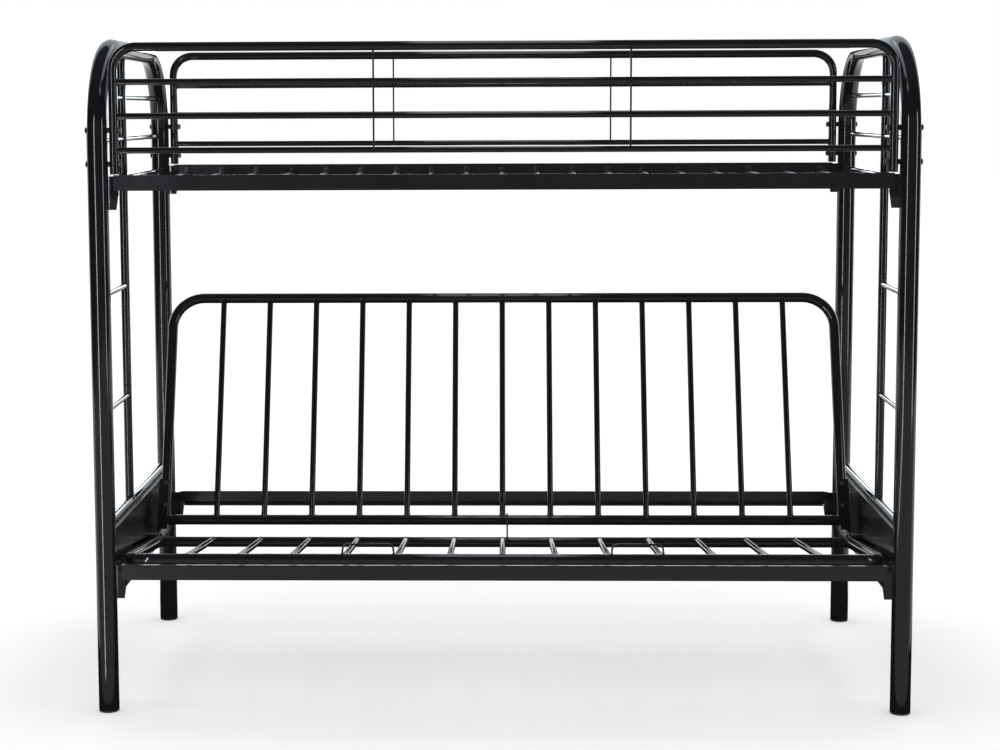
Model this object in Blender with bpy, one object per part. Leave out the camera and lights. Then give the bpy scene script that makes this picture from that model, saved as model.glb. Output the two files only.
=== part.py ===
"""Black metal bunk bed: a slatted upper bunk on two ladder end frames, over a slide-out futon frame.

Metres. +X runs along the bed, the front faces -Y, +Z is up, and the floor is at Z = 0.
The futon is at rest in its sofa position. Its seat slides forward and up along its own plane,
and its back lies down as the seat comes out.
"""

import math

import bmesh
import bpy
from mathutils import Matrix, Vector

# Overall size, over the legs and up to the arches
LENGTH = 1.992
DEPTH = 0.97
HEIGHT = 1.65

# General fits
GAP = 0.0003
CUT_OVERRUN = 0.012
RUNNING_GAP = 0.0006

# End frames: arch, ladder and guard bars
LEG_DIAMETER = 0.05
LEG_SIDES = 16
ARCH_BEND = 0.215
ARCH_STEPS = 6
STILE_SETBACK = 0.333
STILE_DIAMETER = 0.022
CROSS_TUBE_HEIGHT = 0.464
TUBE_SIDES = 12
RUNG_DIAMETER = 0.015
DECK_BAR_RISE = 0.021
END_GUARD_DIAMETER = 0.0135
BAR_SIDES = 8

# Rungs between the cross tube and the deck bar, end guard bars between the deck bar and the arch
RUNG_SHARES = (0.329, 0.669)
END_GUARD_SHARES = (0.305, 0.629)

# Foot caps, plugged into the leg ends
CAP_FLANGE = 0.005
CAP_EDGE = 0.0012
CAP_PLUG = 0.022
LEG_WALL = 0.003
LEG_SOCKET = 0.025

# Side rails: steel angle with its flange turned in at the bottom
RAIL_HEIGHT = 0.038
RAIL_FLANGE = 0.028
RAIL_SHEET = 0.0025
RAIL_OFFSET = 0.005
RAIL_END_GAP = 0.013
FLANGE_TRIM = 0.015
UPPER_RAIL_DROP = 0.369
LOWER_BACK_RAIL_DROP = 0.125

# Hook lugs at the rail ends, and the brackets that they drop on
HOOK_INSET = 0.001
HOOK_WIDTH = 0.0085
HOOK_SHEET = 0.0025
HOOK_DROP = 0.012
BRACKET_SHEET = 0.003
BRACKET_LAP = 0.011
BRACKET_DROP = 0.046
BRACKET_STRAIGHT = 0.011
BRACKET_TAPER = 0.005
BRACKET_LIP = 0.019
LEG_STUD_RISE = 0.0045
LEG_STUD_OFFSET = 0.005
LEG_STUD_DIAMETER = 0.006
LEG_STUD_LENGTH = 0.0105
LEG_NUT_DIAMETER = 0.012
LEG_NUT_HEIGHT = 0.005

# Deck slats: round tube with flattened, turned up ends
SLAT_COUNT = 19
SLAT_END_MARGIN = 0.037
SLAT_DIAMETER = 0.013
SLAT_SIDES = 8
SLAT_TAB_WIDTH = 0.018
SLAT_TAB_SHEET = 0.0028
SLAT_TAB_RISE = 0.022
SLAT_FLAT_LENGTH = 0.012
SLAT_SQUASH_LENGTH = 0.015
SLAT_TAB_CORNER = 0.003

# Guardrails
GUARD_DIAMETER = 0.022
GUARD_SPACING = 0.0045
GUARD_RAIL_GAP = 0.0015
GUARD_RISE = 0.3035
GUARD_BEND = 0.055
GUARD_STEPS = 4
GUARD_BAR_DIAMETER = 0.015
GUARD_BAR_SHARES = (0.188, 0.458, 0.726)
GUARD_WIRE_DIAMETER = 0.0045
GUARD_WIRE_PLACE = 0.306
GUARD_WIRE_WELD = 0.0006
WIRE_SIDES = 6

# Guardrail bolts, nuts and spacers
LOWER_BOLT_RISE = 0.0245
UPPER_BOLT_RISE = 0.1055
BOLT_DIAMETER = 0.008
BOLT_HEAD_DIAMETER = 0.0155
BOLT_HEAD_HEIGHT = 0.0038
BOLT_NUT_DIAMETER = 0.0145
BOLT_NUT_HEIGHT = 0.006
BOLT_END = 0.0015
BORE_CLEARANCE = 0.0004
SPACER_DIAMETER = 0.013
BOLT_SIDES = 8
HEX_SIDES = 6
ROUND_STEPS = 6

# Futon side plates
PLATE_INSET = 0.004
PLATE_SHEET = 0.002
PLATE_HEIGHT = 0.16
PLATE_LIP = 0.012
PLATE_TOP_FLANGE = 0.029
NOTCH_FRONT = -0.09
NOTCH_BACK = 0.04
NOTCH_DEPTH = 0.017

# Futon mechanism
PIVOT_Y = 0.068
PIVOT_DROP = 0.138
SEAT_TILT_DEG = 7.0
BACK_ANGLE_DEG = 69.0
SLIDE_TRAVEL = 0.285
SLOT_CLEARANCE = 0.0004
FUTON_TUBE = 0.0275
FUTON_BAR = 0.0145
FUTON_BAR_RISE = 0.005
FUTON_BAR_MARGIN = 0.1445
FUTON_BAR_COUNT = 13

# Seat frame, measured forward from the pivot and up from it, square to the seat
SEAT_DROP = 0.009
SEAT_SIDE_GAP = 0.014
SEAT_SIDE_START = 0.045
SEAT_REAR = 0.061
SEAT_FRONT = 0.5415
SEAT_BEND = 0.06
SEAT_STEPS = 4
EAR_INSET = 0.008
EAR_SHEET = 0.004
EAR_RADIUS = 0.013
EAR_BAND = 0.008
LOOP_WIRE = 0.005
LOOP_PLACE = 0.328
LOOP_WIDTH = 0.122
LOOP_SPLAY = 0.003
LOOP_RISE = 0.039
LOOP_BEND = 0.014

# Back frame, measured along the back from the pivot
BACK_START = 0.034
BACK_LOW_TUBE = 0.046
BACK_TOP = 0.669
BACK_BEND = 0.085
BACK_STEPS = 4

# Hinge brackets on the back frame
HINGE_SHEET = 0.003
HINGE_START = 0.018
HINGE_END = 0.155
HINGE_RADIUS = 0.014
HINGE_WIDTH = 0.0253
HINGE_REAR = 0.0095
LOWER_HINGE_BOLT = 0.083
UPPER_HINGE_BOLT = 0.143
HINGE_BOLT_DIAMETER = 0.006
HINGE_BOLT_HEAD = 0.012
HINGE_BOLT_HEAD_HEIGHT = 0.003
HINGE_NUT_HEIGHT = 0.005

# Pivot pins
PIN_DIAMETER = 0.008
PIN_HEAD_DIAMETER = 0.016
PIN_HEAD_HEIGHT = 0.006
PIN_SLEEVE_DIAMETER = 0.018
PIN_WASHER_DIAMETER = 0.02
PIN_WASHER_SHEET = 0.0015
PIN_NUT_DIAMETER = 0.013
PIN_NUT_HEIGHT = 0.0055
PIN_END = 0.001

# Centre wire link between the back's lower tube and the seat's rear tube
LINK_WIRE = 0.0045
LINK_PLACE = 0.0125
LINK_WRAP_DEG = 205.0
LINK_STEPS = 9
LINK_OVERHANG = 0.004

# Places that follow from the sizes above
LEG_RADIUS = LEG_DIAMETER / 2
LEG_X = LENGTH / 2 - LEG_RADIUS
LEG_Y = DEPTH / 2 - LEG_RADIUS
ARCH_TOP = HEIGHT - LEG_RADIUS
UPPER_RAIL_BOTTOM = HEIGHT - UPPER_RAIL_DROP
DECK_BAR_HEIGHT = UPPER_RAIL_BOTTOM + DECK_BAR_RISE
RAIL_END = LEG_X - LEG_RADIUS - RAIL_END_GAP
RAIL_FACE = LEG_Y + RAIL_OFFSET
RAIL_BACK = RAIL_FACE - RAIL_SHEET
SLAT_PITCH = 2 * (RAIL_END - SLAT_END_MARGIN) / (SLAT_COUNT - 1)
GUARD_BOTTOM = UPPER_RAIL_BOTTOM + RAIL_HEIGHT + GUARD_RAIL_GAP
GUARD_TOP = GUARD_BOTTOM + GUARD_RISE
GUARD_BAR_HEIGHTS = [GUARD_BOTTOM + share * GUARD_RISE for share in GUARD_BAR_SHARES]
BOLT_HEIGHTS = (GUARD_BOTTOM + LOWER_BOLT_RISE, GUARD_BOTTOM + UPPER_BOLT_RISE)
GUARD_X = LEG_X - LEG_RADIUS - GUARD_SPACING - GUARD_DIAMETER / 2
STILE_Y = -LEG_Y + STILE_SETBACK
LOWER_BACK_RAIL_BOTTOM = CROSS_TUBE_HEIGHT - LOWER_BACK_RAIL_DROP
PIVOT_HEIGHT = CROSS_TUBE_HEIGHT - PIVOT_DROP
BORE_RADIUS = BOLT_DIAMETER / 2 + BORE_CLEARANCE
HINGE_BORE_RADIUS = HINGE_BOLT_DIAMETER / 2 + BORE_CLEARANCE
PIN_BORE_RADIUS = PIN_DIAMETER / 2 + BORE_CLEARANCE
FUTON_RADIUS = FUTON_TUBE / 2
PLATE_PLACE = LEG_X - LEG_RADIUS + PLATE_INSET
PLATE_TOP = CROSS_TUBE_HEIGHT - STILE_DIAMETER / 2 - GAP
PLATE_BOTTOM = PLATE_TOP - PLATE_HEIGHT
SEAT_SIDE = LEG_X - LEG_RADIUS - SEAT_SIDE_GAP - FUTON_RADIUS
EAR_INNER = SEAT_SIDE + FUTON_RADIUS - EAR_INSET
HINGE_OUTER_X = EAR_INNER + EAR_SHEET + GAP
BACK_SIDE = HINGE_OUTER_X - GAP - FUTON_RADIUS
FUTON_BAR_PITCH = 2 * (SEAT_SIDE - FUTON_BAR_MARGIN) / (FUTON_BAR_COUNT - 1)
HINGE_FRONT = FUTON_RADIUS + GAP + HINGE_SHEET
SEAT_TILT = math.radians(SEAT_TILT_DEG)
BACK_LEAN = math.radians(90 - BACK_ANGLE_DEG)

# The seat's side tubes run over the lower front rail, so that rail's height follows from the seat
RAIL_HOOK_BACK = RAIL_BACK - GAP - BRACKET_SHEET - GAP - HOOK_SHEET
SEAT_UNDERSIDE = (
    PIVOT_HEIGHT
    - (SEAT_DROP + FUTON_RADIUS) / math.cos(SEAT_TILT)
    + (PIVOT_Y + RAIL_HOOK_BACK) * math.tan(SEAT_TILT)
)
LOWER_FRONT_RAIL_BOTTOM = SEAT_UNDERSIDE - RUNNING_GAP - RAIL_HEIGHT

BLACK_PAINT = ((0.010, 0.010, 0.012, 1.0), 0.22, 0.0)
BLACK_ZINC = ((0.016, 0.016, 0.018, 1.0), 0.35, 0.0)
BLACK_PLASTIC = ((0.014, 0.014, 0.015, 1.0), 0.55, 0.0)
SMOOTH_ANGLE_DEG = 35.0

# A dome head's profile: shares of its height and of its radius
DOME_SHARES = ((0.0, 1.0), (0.35, 0.93), (0.8, 0.6), (1.0, 0.0))
X_AXIS = Vector((1, 0, 0))
Y_AXIS = Vector((0, 1, 0))
Z_AXIS = Vector((0, 0, 1))


def clear_scene():
    """Removes what the scene holds, so the file runs from the text editor too."""
    for obj in list(bpy.data.objects):
        bpy.data.objects.remove(obj)


def solid(bm, name="solid"):
    """Links a closed bmesh to the scene as an object, with its faces pointing out."""
    bmesh.ops.recalc_face_normals(bm, faces=bm.faces)
    mesh = bpy.data.meshes.new(name)
    bm.to_mesh(mesh)
    bm.free()
    obj = bpy.data.objects.new(name, mesh)
    bpy.context.scene.collection.objects.link(obj)
    return obj


def skin(rings, loop=False):
    """A closed solid over rings of points; rings that do not meet get a face over each end."""
    bm = bmesh.new()
    loops = [[bm.verts.new(point) for point in ring] for ring in rings]
    pairs = list(zip(loops, loops[1:]))
    if loop:
        pairs.append((loops[-1], loops[0]))
    for one, two in pairs:
        count = max(len(one), len(two))
        for k in range(count):
            after = k + 1
            corners = [one[k % len(one)], one[after % len(one)], two[after % len(two)], two[k % len(two)]]
            bm.faces.new(list(dict.fromkeys(corners)))
    for end in (loops[0], loops[-1]):
        if not loop and len(end) > 2:
            bm.faces.new(end)
    return solid(bm)


def rounded(corners, radius, steps):
    """The corners of a path as points, with each inner corner rounded to a tangent arc."""
    path = [corners[0]]
    for before, corner, after in zip(corners, corners[1:], corners[2:]):
        way_in = (corner - before).normalized()
        way_out = (after - corner).normalized()
        turn = way_in.angle(way_out)
        inward = (way_out - way_in * math.cos(turn)).normalized()
        centre = corner - way_in * radius * math.tan(turn / 2) + inward * radius
        for step in range(steps + 1):
            angle = turn * step / steps
            path.append(centre + (way_in * math.sin(angle) - inward * math.cos(angle)) * radius)
    path.append(corners[-1])
    return path


def tube(path, diameter, sides, across):
    """A round tube along a path that lies square to the direction across, mitred at each point."""
    ways = [(b - a).normalized() for a, b in zip(path, path[1:])]
    rings = []
    for here, way_in, way_out in zip(path, ways[:1] + ways, ways + ways[-1:]):
        along = (way_in + way_out).normalized()
        outward = along.cross(across) * (diameter / 2) / along.dot(way_in)
        sideways = across * (diameter / 2)
        angles = [2 * math.pi * k / sides for k in range(sides)]
        rings.append([here + outward * math.cos(a) + sideways * math.sin(a) for a in angles])
    return skin(rings)


def turned(profile, sides, loop=False):
    """A solid of revolution about X, from (place along X, radius) pairs."""
    rings = []
    for place, radius in profile:
        angles = [2 * math.pi * k / sides for k in range(sides if radius > 0 else 1)]
        rings.append([Vector((place, radius * math.cos(a), radius * math.sin(a))) for a in angles])
    return skin(rings, loop)


def rod(start, end, radius, sides):
    """A plain round bar along X."""
    return turned(((start, 0), (start, radius), (end, radius), (end, 0)), sides)


def half_round(radius, start, way):
    """(Y, Z) points of a half circle from an angle onwards, one way round or the other."""
    angles = [start + way * math.pi * step / ROUND_STEPS for step in range(ROUND_STEPS + 1)]
    return [(radius * math.cos(angle), radius * math.sin(angle)) for angle in angles]


def prism(outline, sweep):
    """A flat outline of points pushed along a vector."""
    return skin([outline, [point + sweep for point in outline]])


def box(low, high):
    """A box between two corners."""
    (x0, y0, z0), (x1, y1, z1) = low, high
    outline = [Vector((x, y, z0)) for x, y in ((x0, y0), (x1, y0), (x1, y1), (x0, y1))]
    return prism(outline, Z_AXIS * (z1 - z0))


def combine(base, others, operation):
    """Applies one exact Boolean of all the others to the base, and removes them."""
    group = bpy.data.collections.new("operands")
    for other in others:
        group.objects.link(other)
    step = base.modifiers.new(operation.title(), "BOOLEAN")
    step.operation = operation
    step.solver = "EXACT"
    step.operand_type = "COLLECTION"
    step.collection = group
    graph = bpy.context.evaluated_depsgraph_get()
    mesh = bpy.data.meshes.new_from_object(base.evaluated_get(graph))
    base.modifiers.clear()
    base.data = mesh
    for other in others:
        bpy.data.objects.remove(other)
    bpy.data.collections.remove(group)
    return base


def weld(*pieces):
    """One body of all the pieces."""
    return combine(pieces[0], pieces[1:], "UNION")


def cut(base, *cutters):
    """The base without the space of the cutters."""
    return combine(base, cutters, "DIFFERENCE")


def shift(obj, offset):
    """Moves a shape inside its object."""
    obj.data.transform(Matrix.Translation(offset))
    return obj


def turn(obj, degrees, axis):
    """Turns a shape about an axis through its object's origin."""
    obj.data.transform(Matrix.Rotation(math.radians(degrees), 4, axis))
    return obj


def mirrored(mesh):
    """A copy of a mesh for the other end of the bed."""
    bm = bmesh.new()
    bm.from_mesh(mesh)
    bmesh.ops.scale(bm, vec=(-1, 1, 1), verts=bm.verts)
    bmesh.ops.reverse_faces(bm, faces=bm.faces)
    copy = bpy.data.meshes.new("mirrored")
    bm.to_mesh(copy)
    bm.free()
    return copy


def place(name, mesh, finish, location=(0, 0, 0), rotation=(0, 0, 0), parent=None):
    """A named piece of the bed with its own material."""
    colour, roughness, metallic = finish
    material = bpy.data.materials.new(name)
    material.use_nodes = True
    shader = material.node_tree.nodes["Principled BSDF"]
    shader.inputs["Base Color"].default_value = colour
    shader.inputs["Roughness"].default_value = roughness
    shader.inputs["Metallic"].default_value = metallic
    obj = bpy.data.objects.new(name, mesh)
    bpy.context.scene.collection.objects.link(obj)
    mesh.shade_smooth()
    mesh.set_sharp_from_angle(angle=math.radians(SMOOTH_ANGLE_DEG))
    if not mesh.materials:
        mesh.materials.append(None)
    obj.material_slots[0].link = "OBJECT"
    obj.material_slots[0].material = material
    obj.location = location
    obj.rotation_euler = rotation
    obj.parent = parent
    return obj


def shape_of(obj):
    """The mesh of a finished shape, whose own object is dropped."""
    mesh = obj.data
    bpy.data.objects.remove(obj)
    return mesh


def pivot(name, location, tilt):
    """An empty on a joint's axis, turned about X."""
    empty = bpy.data.objects.new(name, None)
    bpy.context.scene.collection.objects.link(empty)
    empty.empty_display_size = FUTON_TUBE
    empty.location = location
    empty.rotation_euler = (tilt, 0, 0)
    return empty


def both_ends(name, mesh, finish, location=(0, 0, 0), parent=None):
    """A piece at the right end and its mirror image at the left end."""
    x, y, z = location
    place(name + "_right", mesh, finish, (x, y, z), parent=parent)
    place(name + "_left", mirrored(mesh), finish, (-x, y, z), parent=parent)


def rail_bracket(side_y, rail_bottom):
    """The sheet bracket on the right legs: a plate behind the rail's end and a turned lip below it."""
    top = rail_bottom + RAIL_HEIGHT - HOOK_SHEET - GAP
    inner = RAIL_END - BRACKET_LAP
    bottom = rail_bottom - BRACKET_DROP
    corner = rail_bottom - BRACKET_STRAIGHT
    outer = LEG_X - LEG_RADIUS / 2
    face = side_y * (RAIL_BACK - GAP)
    back = side_y * (RAIL_BACK - GAP - BRACKET_SHEET)
    lip_end = side_y * (RAIL_BACK - GAP - BRACKET_SHEET - BRACKET_LIP)
    narrow = inner + BRACKET_TAPER
    outline = ((outer, top), (inner, top), (inner, corner), (narrow, bottom), (outer, bottom))
    plate = prism([Vector((x, face, z)) for x, z in outline], Y_AXIS * (back - face))
    lip_top = rail_bottom - GAP
    lip = ((face, lip_top), (back, lip_top), (lip_end, corner), (back, corner), (face, corner))
    turned_lip = prism([Vector((inner, y, z)) for y, z in lip], X_AXIS * BRACKET_SHEET)
    return [plate, turned_lip]


def arch_line(height):
    """How far the arch's centre line is from the bed's middle at a height."""
    rise = max(height - ARCH_TOP + ARCH_BEND, 0)
    return LEG_Y - ARCH_BEND + math.sqrt(ARCH_BEND ** 2 - rise ** 2)


def end_frame():
    """The right end: arch, ladder stile, cross tube, rungs, bars and rail brackets as one weldment."""
    low = CAP_FLANGE + GAP
    corners = ((-LEG_Y, low), (-LEG_Y, ARCH_TOP), (LEG_Y, ARCH_TOP), (LEG_Y, low))
    path = rounded([Vector((LEG_X, y, z)) for y, z in corners], ARCH_BEND, ARCH_STEPS)
    pieces = [tube(path, LEG_DIAMETER, LEG_SIDES, X_AXIS)]
    stile = (Vector((LEG_X, STILE_Y, CROSS_TUBE_HEIGHT)), Vector((LEG_X, STILE_Y, ARCH_TOP)))
    pieces.append(tube(stile, STILE_DIAMETER, TUBE_SIDES, X_AXIS))
    bars = [(CROSS_TUBE_HEIGHT, STILE_DIAMETER, LEG_Y), (DECK_BAR_HEIGHT, RUNG_DIAMETER, LEG_Y)]
    for share in RUNG_SHARES:
        height = CROSS_TUBE_HEIGHT + share * (DECK_BAR_HEIGHT - CROSS_TUBE_HEIGHT)
        bars.append((height, RUNG_DIAMETER, STILE_Y))
    for share in END_GUARD_SHARES:
        height = DECK_BAR_HEIGHT + share * (ARCH_TOP - DECK_BAR_HEIGHT)
        bars.append((height, END_GUARD_DIAMETER, arch_line(height)))
    for height, diameter, end in bars:
        run = (Vector((LEG_X, -arch_line(height), height)), Vector((LEG_X, end, height)))
        sides = TUBE_SIDES if diameter == STILE_DIAMETER else BAR_SIDES
        pieces.append(tube(run, diameter, sides, X_AXIS))
    for side_y, bottom in (
        (-1, UPPER_RAIL_BOTTOM),
        (1, UPPER_RAIL_BOTTOM),
        (-1, LOWER_FRONT_RAIL_BOTTOM),
        (1, LOWER_BACK_RAIL_BOTTOM),
    ):
        pieces += rail_bracket(side_y, bottom)
    pieces += leg_stud()
    frame = weld(*pieces)
    cutters = []
    for side_y in (-1, 1):
        socket = rod(low - CUT_OVERRUN, low + LEG_SOCKET, LEG_RADIUS - LEG_WALL, LEG_SIDES)
        cutters.append(shift(turn(socket, -90, "Y"), (LEG_X, side_y * LEG_Y, 0)))
        for height in BOLT_HEIGHTS:
            reach = LEG_RADIUS + CUT_OVERRUN
            bore = rod(-reach, reach, BORE_RADIUS, BOLT_SIDES)
            cutters.append(shift(bore, (LEG_X, side_y * LEG_Y, height)))
    return cut(frame, *cutters)


def leg_stud():
    """A short stud with a hex nut on the inner side of the front leg, over the lower rail."""
    start = LEG_X - LEG_RADIUS / 2
    end = LEG_X - LEG_RADIUS - LEG_STUD_LENGTH
    nut = LEG_X - LEG_RADIUS + LEG_STUD_OFFSET / 2
    nut_end = LEG_X - LEG_RADIUS - LEG_NUT_HEIGHT
    centre = (0, -LEG_Y + LEG_STUD_OFFSET, LOWER_FRONT_RAIL_BOTTOM + RAIL_HEIGHT + LEG_STUD_RISE)
    stud = rod(end, start, LEG_STUD_DIAMETER / 2, BOLT_SIDES)
    hexagon = rod(nut_end, nut, LEG_NUT_DIAMETER / 2, HEX_SIDES)
    return [shift(stud, centre), shift(hexagon, centre)]


def side_rail(side_y, bottom):
    """Steel angle with a hook lug at each end that passes over its bracket and down behind it."""
    face = side_y * RAIL_FACE
    back = side_y * RAIL_BACK
    top = bottom + RAIL_HEIGHT
    edge = side_y * (RAIL_FACE - RAIL_FLANGE)
    middle = (face + back) / 2
    web = [Vector((-RAIL_END, y, z)) for y, z in ((face, bottom), (face, top), (back, top), (back, bottom))]
    trim = RAIL_END - FLANGE_TRIM
    inside = bottom + RAIL_SHEET
    flange_outline = ((middle, bottom), (middle, inside), (edge, inside), (edge, bottom))
    flange = [Vector((-trim, y, z)) for y, z in flange_outline]
    pieces = [prism(web, X_AXIS * 2 * RAIL_END), prism(flange, X_AXIS * 2 * trim)]
    behind = side_y * (RAIL_BACK - GAP - BRACKET_SHEET - GAP)
    tip = side_y * RAIL_HOOK_BACK
    under = top - HOOK_SHEET
    low = under - HOOK_DROP
    hook_outline = ((middle, top), (tip, top), (tip, low), (behind, low), (behind, under), (middle, under))
    for start in (RAIL_END - HOOK_INSET - HOOK_WIDTH, -RAIL_END + HOOK_INSET):
        pieces.append(prism([Vector((start, y, z)) for y, z in hook_outline], X_AXIS * HOOK_WIDTH))
    return weld(*pieces)


def slat():
    """One deck slat: a round tube whose ends are squashed flat and turned up behind the rails."""
    radius = SLAT_DIAMETER / 2
    wide = SLAT_TAB_WIDTH / 2
    thin = SLAT_TAB_SHEET / 2
    tab = RAIL_BACK - GAP - thin
    bend = radius / 2
    flat = tab - SLAT_FLAT_LENGTH
    sections = (
        (flat - SLAT_SQUASH_LENGTH, 0, 0, radius, radius),
        (flat, 0, 0, wide, thin),
        (tab - bend, 0, 0, wide, thin),
        (tab, bend, 90, wide, thin),
        (tab, SLAT_TAB_RISE - SLAT_TAB_CORNER, 90, wide, thin),
        (tab, SLAT_TAB_RISE, 90, wide - SLAT_TAB_CORNER, thin),
    )
    half = []
    for y, z, lean, width, depth in sections:
        lean = math.radians(lean)
        ring = []
        for k in range(SLAT_SIDES):
            angle = 2 * math.pi * (k + 0.5) / SLAT_SIDES
            flare = 1 / math.cos(math.pi / SLAT_SIDES)
            across, up = width * math.cos(angle) * flare, depth * math.sin(angle) * flare
            ring.append(Vector((across, y - up * math.sin(lean), z + up * math.cos(lean))))
        half.append(ring)
    other = [[Vector((p.x, -p.y, p.z)) for p in ring] for ring in half]
    return skin(other[::-1] + half)


def guardrail(side_y):
    """An inverted U with three bars and two thin wires, bored for its bolts."""
    y = side_y * LEG_Y
    corners = (
        (-GUARD_X, GUARD_BOTTOM), (-GUARD_X, GUARD_TOP),
        (GUARD_X, GUARD_TOP), (GUARD_X, GUARD_BOTTOM),
    )
    path = rounded([Vector((x, y, z)) for x, z in corners], GUARD_BEND, GUARD_STEPS)
    pieces = [tube(path, GUARD_DIAMETER, TUBE_SIDES, Y_AXIS)]
    for height in GUARD_BAR_HEIGHTS:
        run = (Vector((-GUARD_X, y, height)), Vector((GUARD_X, y, height)))
        pieces.append(tube(run, GUARD_BAR_DIAMETER, BAR_SIDES, Y_AXIS))
    wire_y = y - GUARD_BAR_DIAMETER / 2 - GUARD_WIRE_DIAMETER / 2 + GUARD_WIRE_WELD
    for x in (-GUARD_WIRE_PLACE, GUARD_WIRE_PLACE):
        low = GUARD_BAR_HEIGHTS[0] - GUARD_WIRE_DIAMETER
        run = (Vector((x, wire_y, low)), Vector((x, wire_y, GUARD_TOP)))
        pieces.append(tube(run, GUARD_WIRE_DIAMETER, WIRE_SIDES, Y_AXIS))
    cutters = []
    for x in (-GUARD_X, GUARD_X):
        for height in BOLT_HEIGHTS:
            reach = GUARD_DIAMETER / 2 + GUARD_SPACING
            bore = rod(-reach, reach, BORE_RADIUS, BOLT_SIDES)
            cutters.append(shift(bore, (x, y, height)))
    return cut(weld(*pieces), *cutters)


def dome(start, height, radius):
    """Profile of a low dome head from its rim to its crown, along +X."""
    return [(start + height * up, radius * out) for up, out in DOME_SHARES]


def guard_bolt():
    """A dome bolt along X with its nut, for a bore whose leg is centred on the origin."""
    radius = BOLT_DIAMETER / 2
    seat = LEG_RADIUS + GAP
    nut_face = -(LEG_RADIUS + GUARD_SPACING + GUARD_DIAMETER + GAP)
    end = nut_face - BOLT_NUT_HEIGHT - BOLT_END
    head = dome(seat, BOLT_HEAD_HEIGHT, BOLT_HEAD_DIAMETER / 2)
    bolt = turned([(end, 0), (end, radius), (seat, radius)] + head, BOLT_SIDES)
    return weld(bolt, rod(nut_face - BOLT_NUT_HEIGHT, nut_face, BOLT_NUT_DIAMETER / 2, HEX_SIDES))


def guard_spacer():
    """A ring on the bolt between the leg and the guardrail."""
    outer = SPACER_DIAMETER / 2
    near = -LEG_RADIUS - GAP
    far = -LEG_RADIUS - GUARD_SPACING + GAP
    profile = ((far, BORE_RADIUS), (far, outer), (near, outer), (near, BORE_RADIUS))
    return turned(profile, BOLT_SIDES, loop=True)


def foot_cap():
    """A plastic plug with a floor flange as wide as the leg, about X."""
    plug = LEG_RADIUS - LEG_WALL - GAP
    top = CAP_FLANGE + CAP_PLUG
    profile = (
        (0, 0), (0, LEG_RADIUS - CAP_EDGE), (CAP_EDGE, LEG_RADIUS), (CAP_FLANGE, LEG_RADIUS),
        (CAP_FLANGE, plug), (top, plug), (top, 0),
    )
    return turned(profile, LEG_SIDES)


def slot_outline(x, radius, run):
    """A round-ended slot in the seat's frame, from the pivot forward over the run."""
    points = []
    for centre, start in ((-run, math.pi / 2), (0, -math.pi / 2)):
        points += [Vector((x, centre + y, z)) for y, z in half_round(radius, start, 1)]
    return points


def side_plate():
    """The right guide plate: sheet with a lip, an outward flange and the slanted slot for the pin."""
    inner = PLATE_PLACE
    outer = PLATE_PLACE + PLATE_SHEET
    lip = outer - PLATE_LIP - PLATE_SHEET
    top = PLATE_TOP
    edge = inner + PLATE_TOP_FLANGE
    end = LEG_Y - LEG_RADIUS / 2
    section = (
        (lip, PLATE_BOTTOM), (outer, PLATE_BOTTOM), (outer, top - PLATE_SHEET), (edge, top - PLATE_SHEET),
        (edge, top), (inner, top), (inner, PLATE_BOTTOM + PLATE_SHEET), (lip, PLATE_BOTTOM + PLATE_SHEET),
    )
    plate = prism([Vector((x, -end, z)) for x, z in section], Y_AXIS * 2 * end)
    cutters = []
    for y in (-LEG_Y, LEG_Y):
        low, high = PLATE_BOTTOM - CUT_OVERRUN, top + CUT_OVERRUN
        run = (Vector((LEG_X, y, low)), Vector((LEG_X, y, high)))
        cutters.append(tube(run, LEG_DIAMETER + 2 * GAP, LEG_SIDES, X_AXIS))
    notch_start = (outer + NOTCH_DEPTH, NOTCH_FRONT, top - CUT_OVERRUN)
    notch_end = (edge + CUT_OVERRUN, NOTCH_BACK, top + CUT_OVERRUN)
    cutters.append(box(notch_start, notch_end))
    outline = slot_outline(inner - CUT_OVERRUN, PIN_DIAMETER / 2 + SLOT_CLEARANCE, SLIDE_TRAVEL)
    slot = prism(outline, X_AXIS * (PLATE_SHEET + 2 * CUT_OVERRUN))
    cutters.append(shift(turn(slot, -SEAT_TILT_DEG, "X"), (0, PIVOT_Y, PIVOT_HEIGHT)))
    return cut(plate, *cutters)


def cross_bars(start, end, level, along):
    """The parallel bars of a futon frame, from one cross tube to the other, nearer the cushion's side."""
    bars = []
    for index in range(FUTON_BAR_COUNT):
        x = (index - (FUTON_BAR_COUNT - 1) / 2) * FUTON_BAR_PITCH
        run = (X_AXIS * x + along * start + level, X_AXIS * x + along * end + level)
        bars.append(tube(run, FUTON_BAR, BAR_SIDES, X_AXIS))
    return bars


def mattress_loop(x):
    """A bent wire on the seat's front tube that keeps the cushion back."""
    half = LOOP_WIDTH / 2
    spread = half + LOOP_SPLAY
    foot = -SEAT_DROP
    crown = foot + LOOP_RISE - LOOP_WIRE / 2
    corners = ((x - spread, foot), (x - half, crown), (x + half, crown), (x + spread, foot))
    path = rounded([Vector((px, -SEAT_FRONT, pz)) for px, pz in corners], LOOP_BEND, SEAT_STEPS)
    return tube(path, LOOP_WIRE, WIRE_SIDES, Y_AXIS)


def ear(x):
    """The plate that carries the pivot behind the seat's side tube."""
    points = half_round(EAR_RADIUS, math.pi / 2, -1)
    points += [(-SEAT_REAR, -SEAT_DROP - EAR_BAND), (-SEAT_REAR, -SEAT_DROP + EAR_BAND)]
    return prism([Vector((x, y, z)) for y, z in points], X_AXIS * EAR_SHEET)


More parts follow.
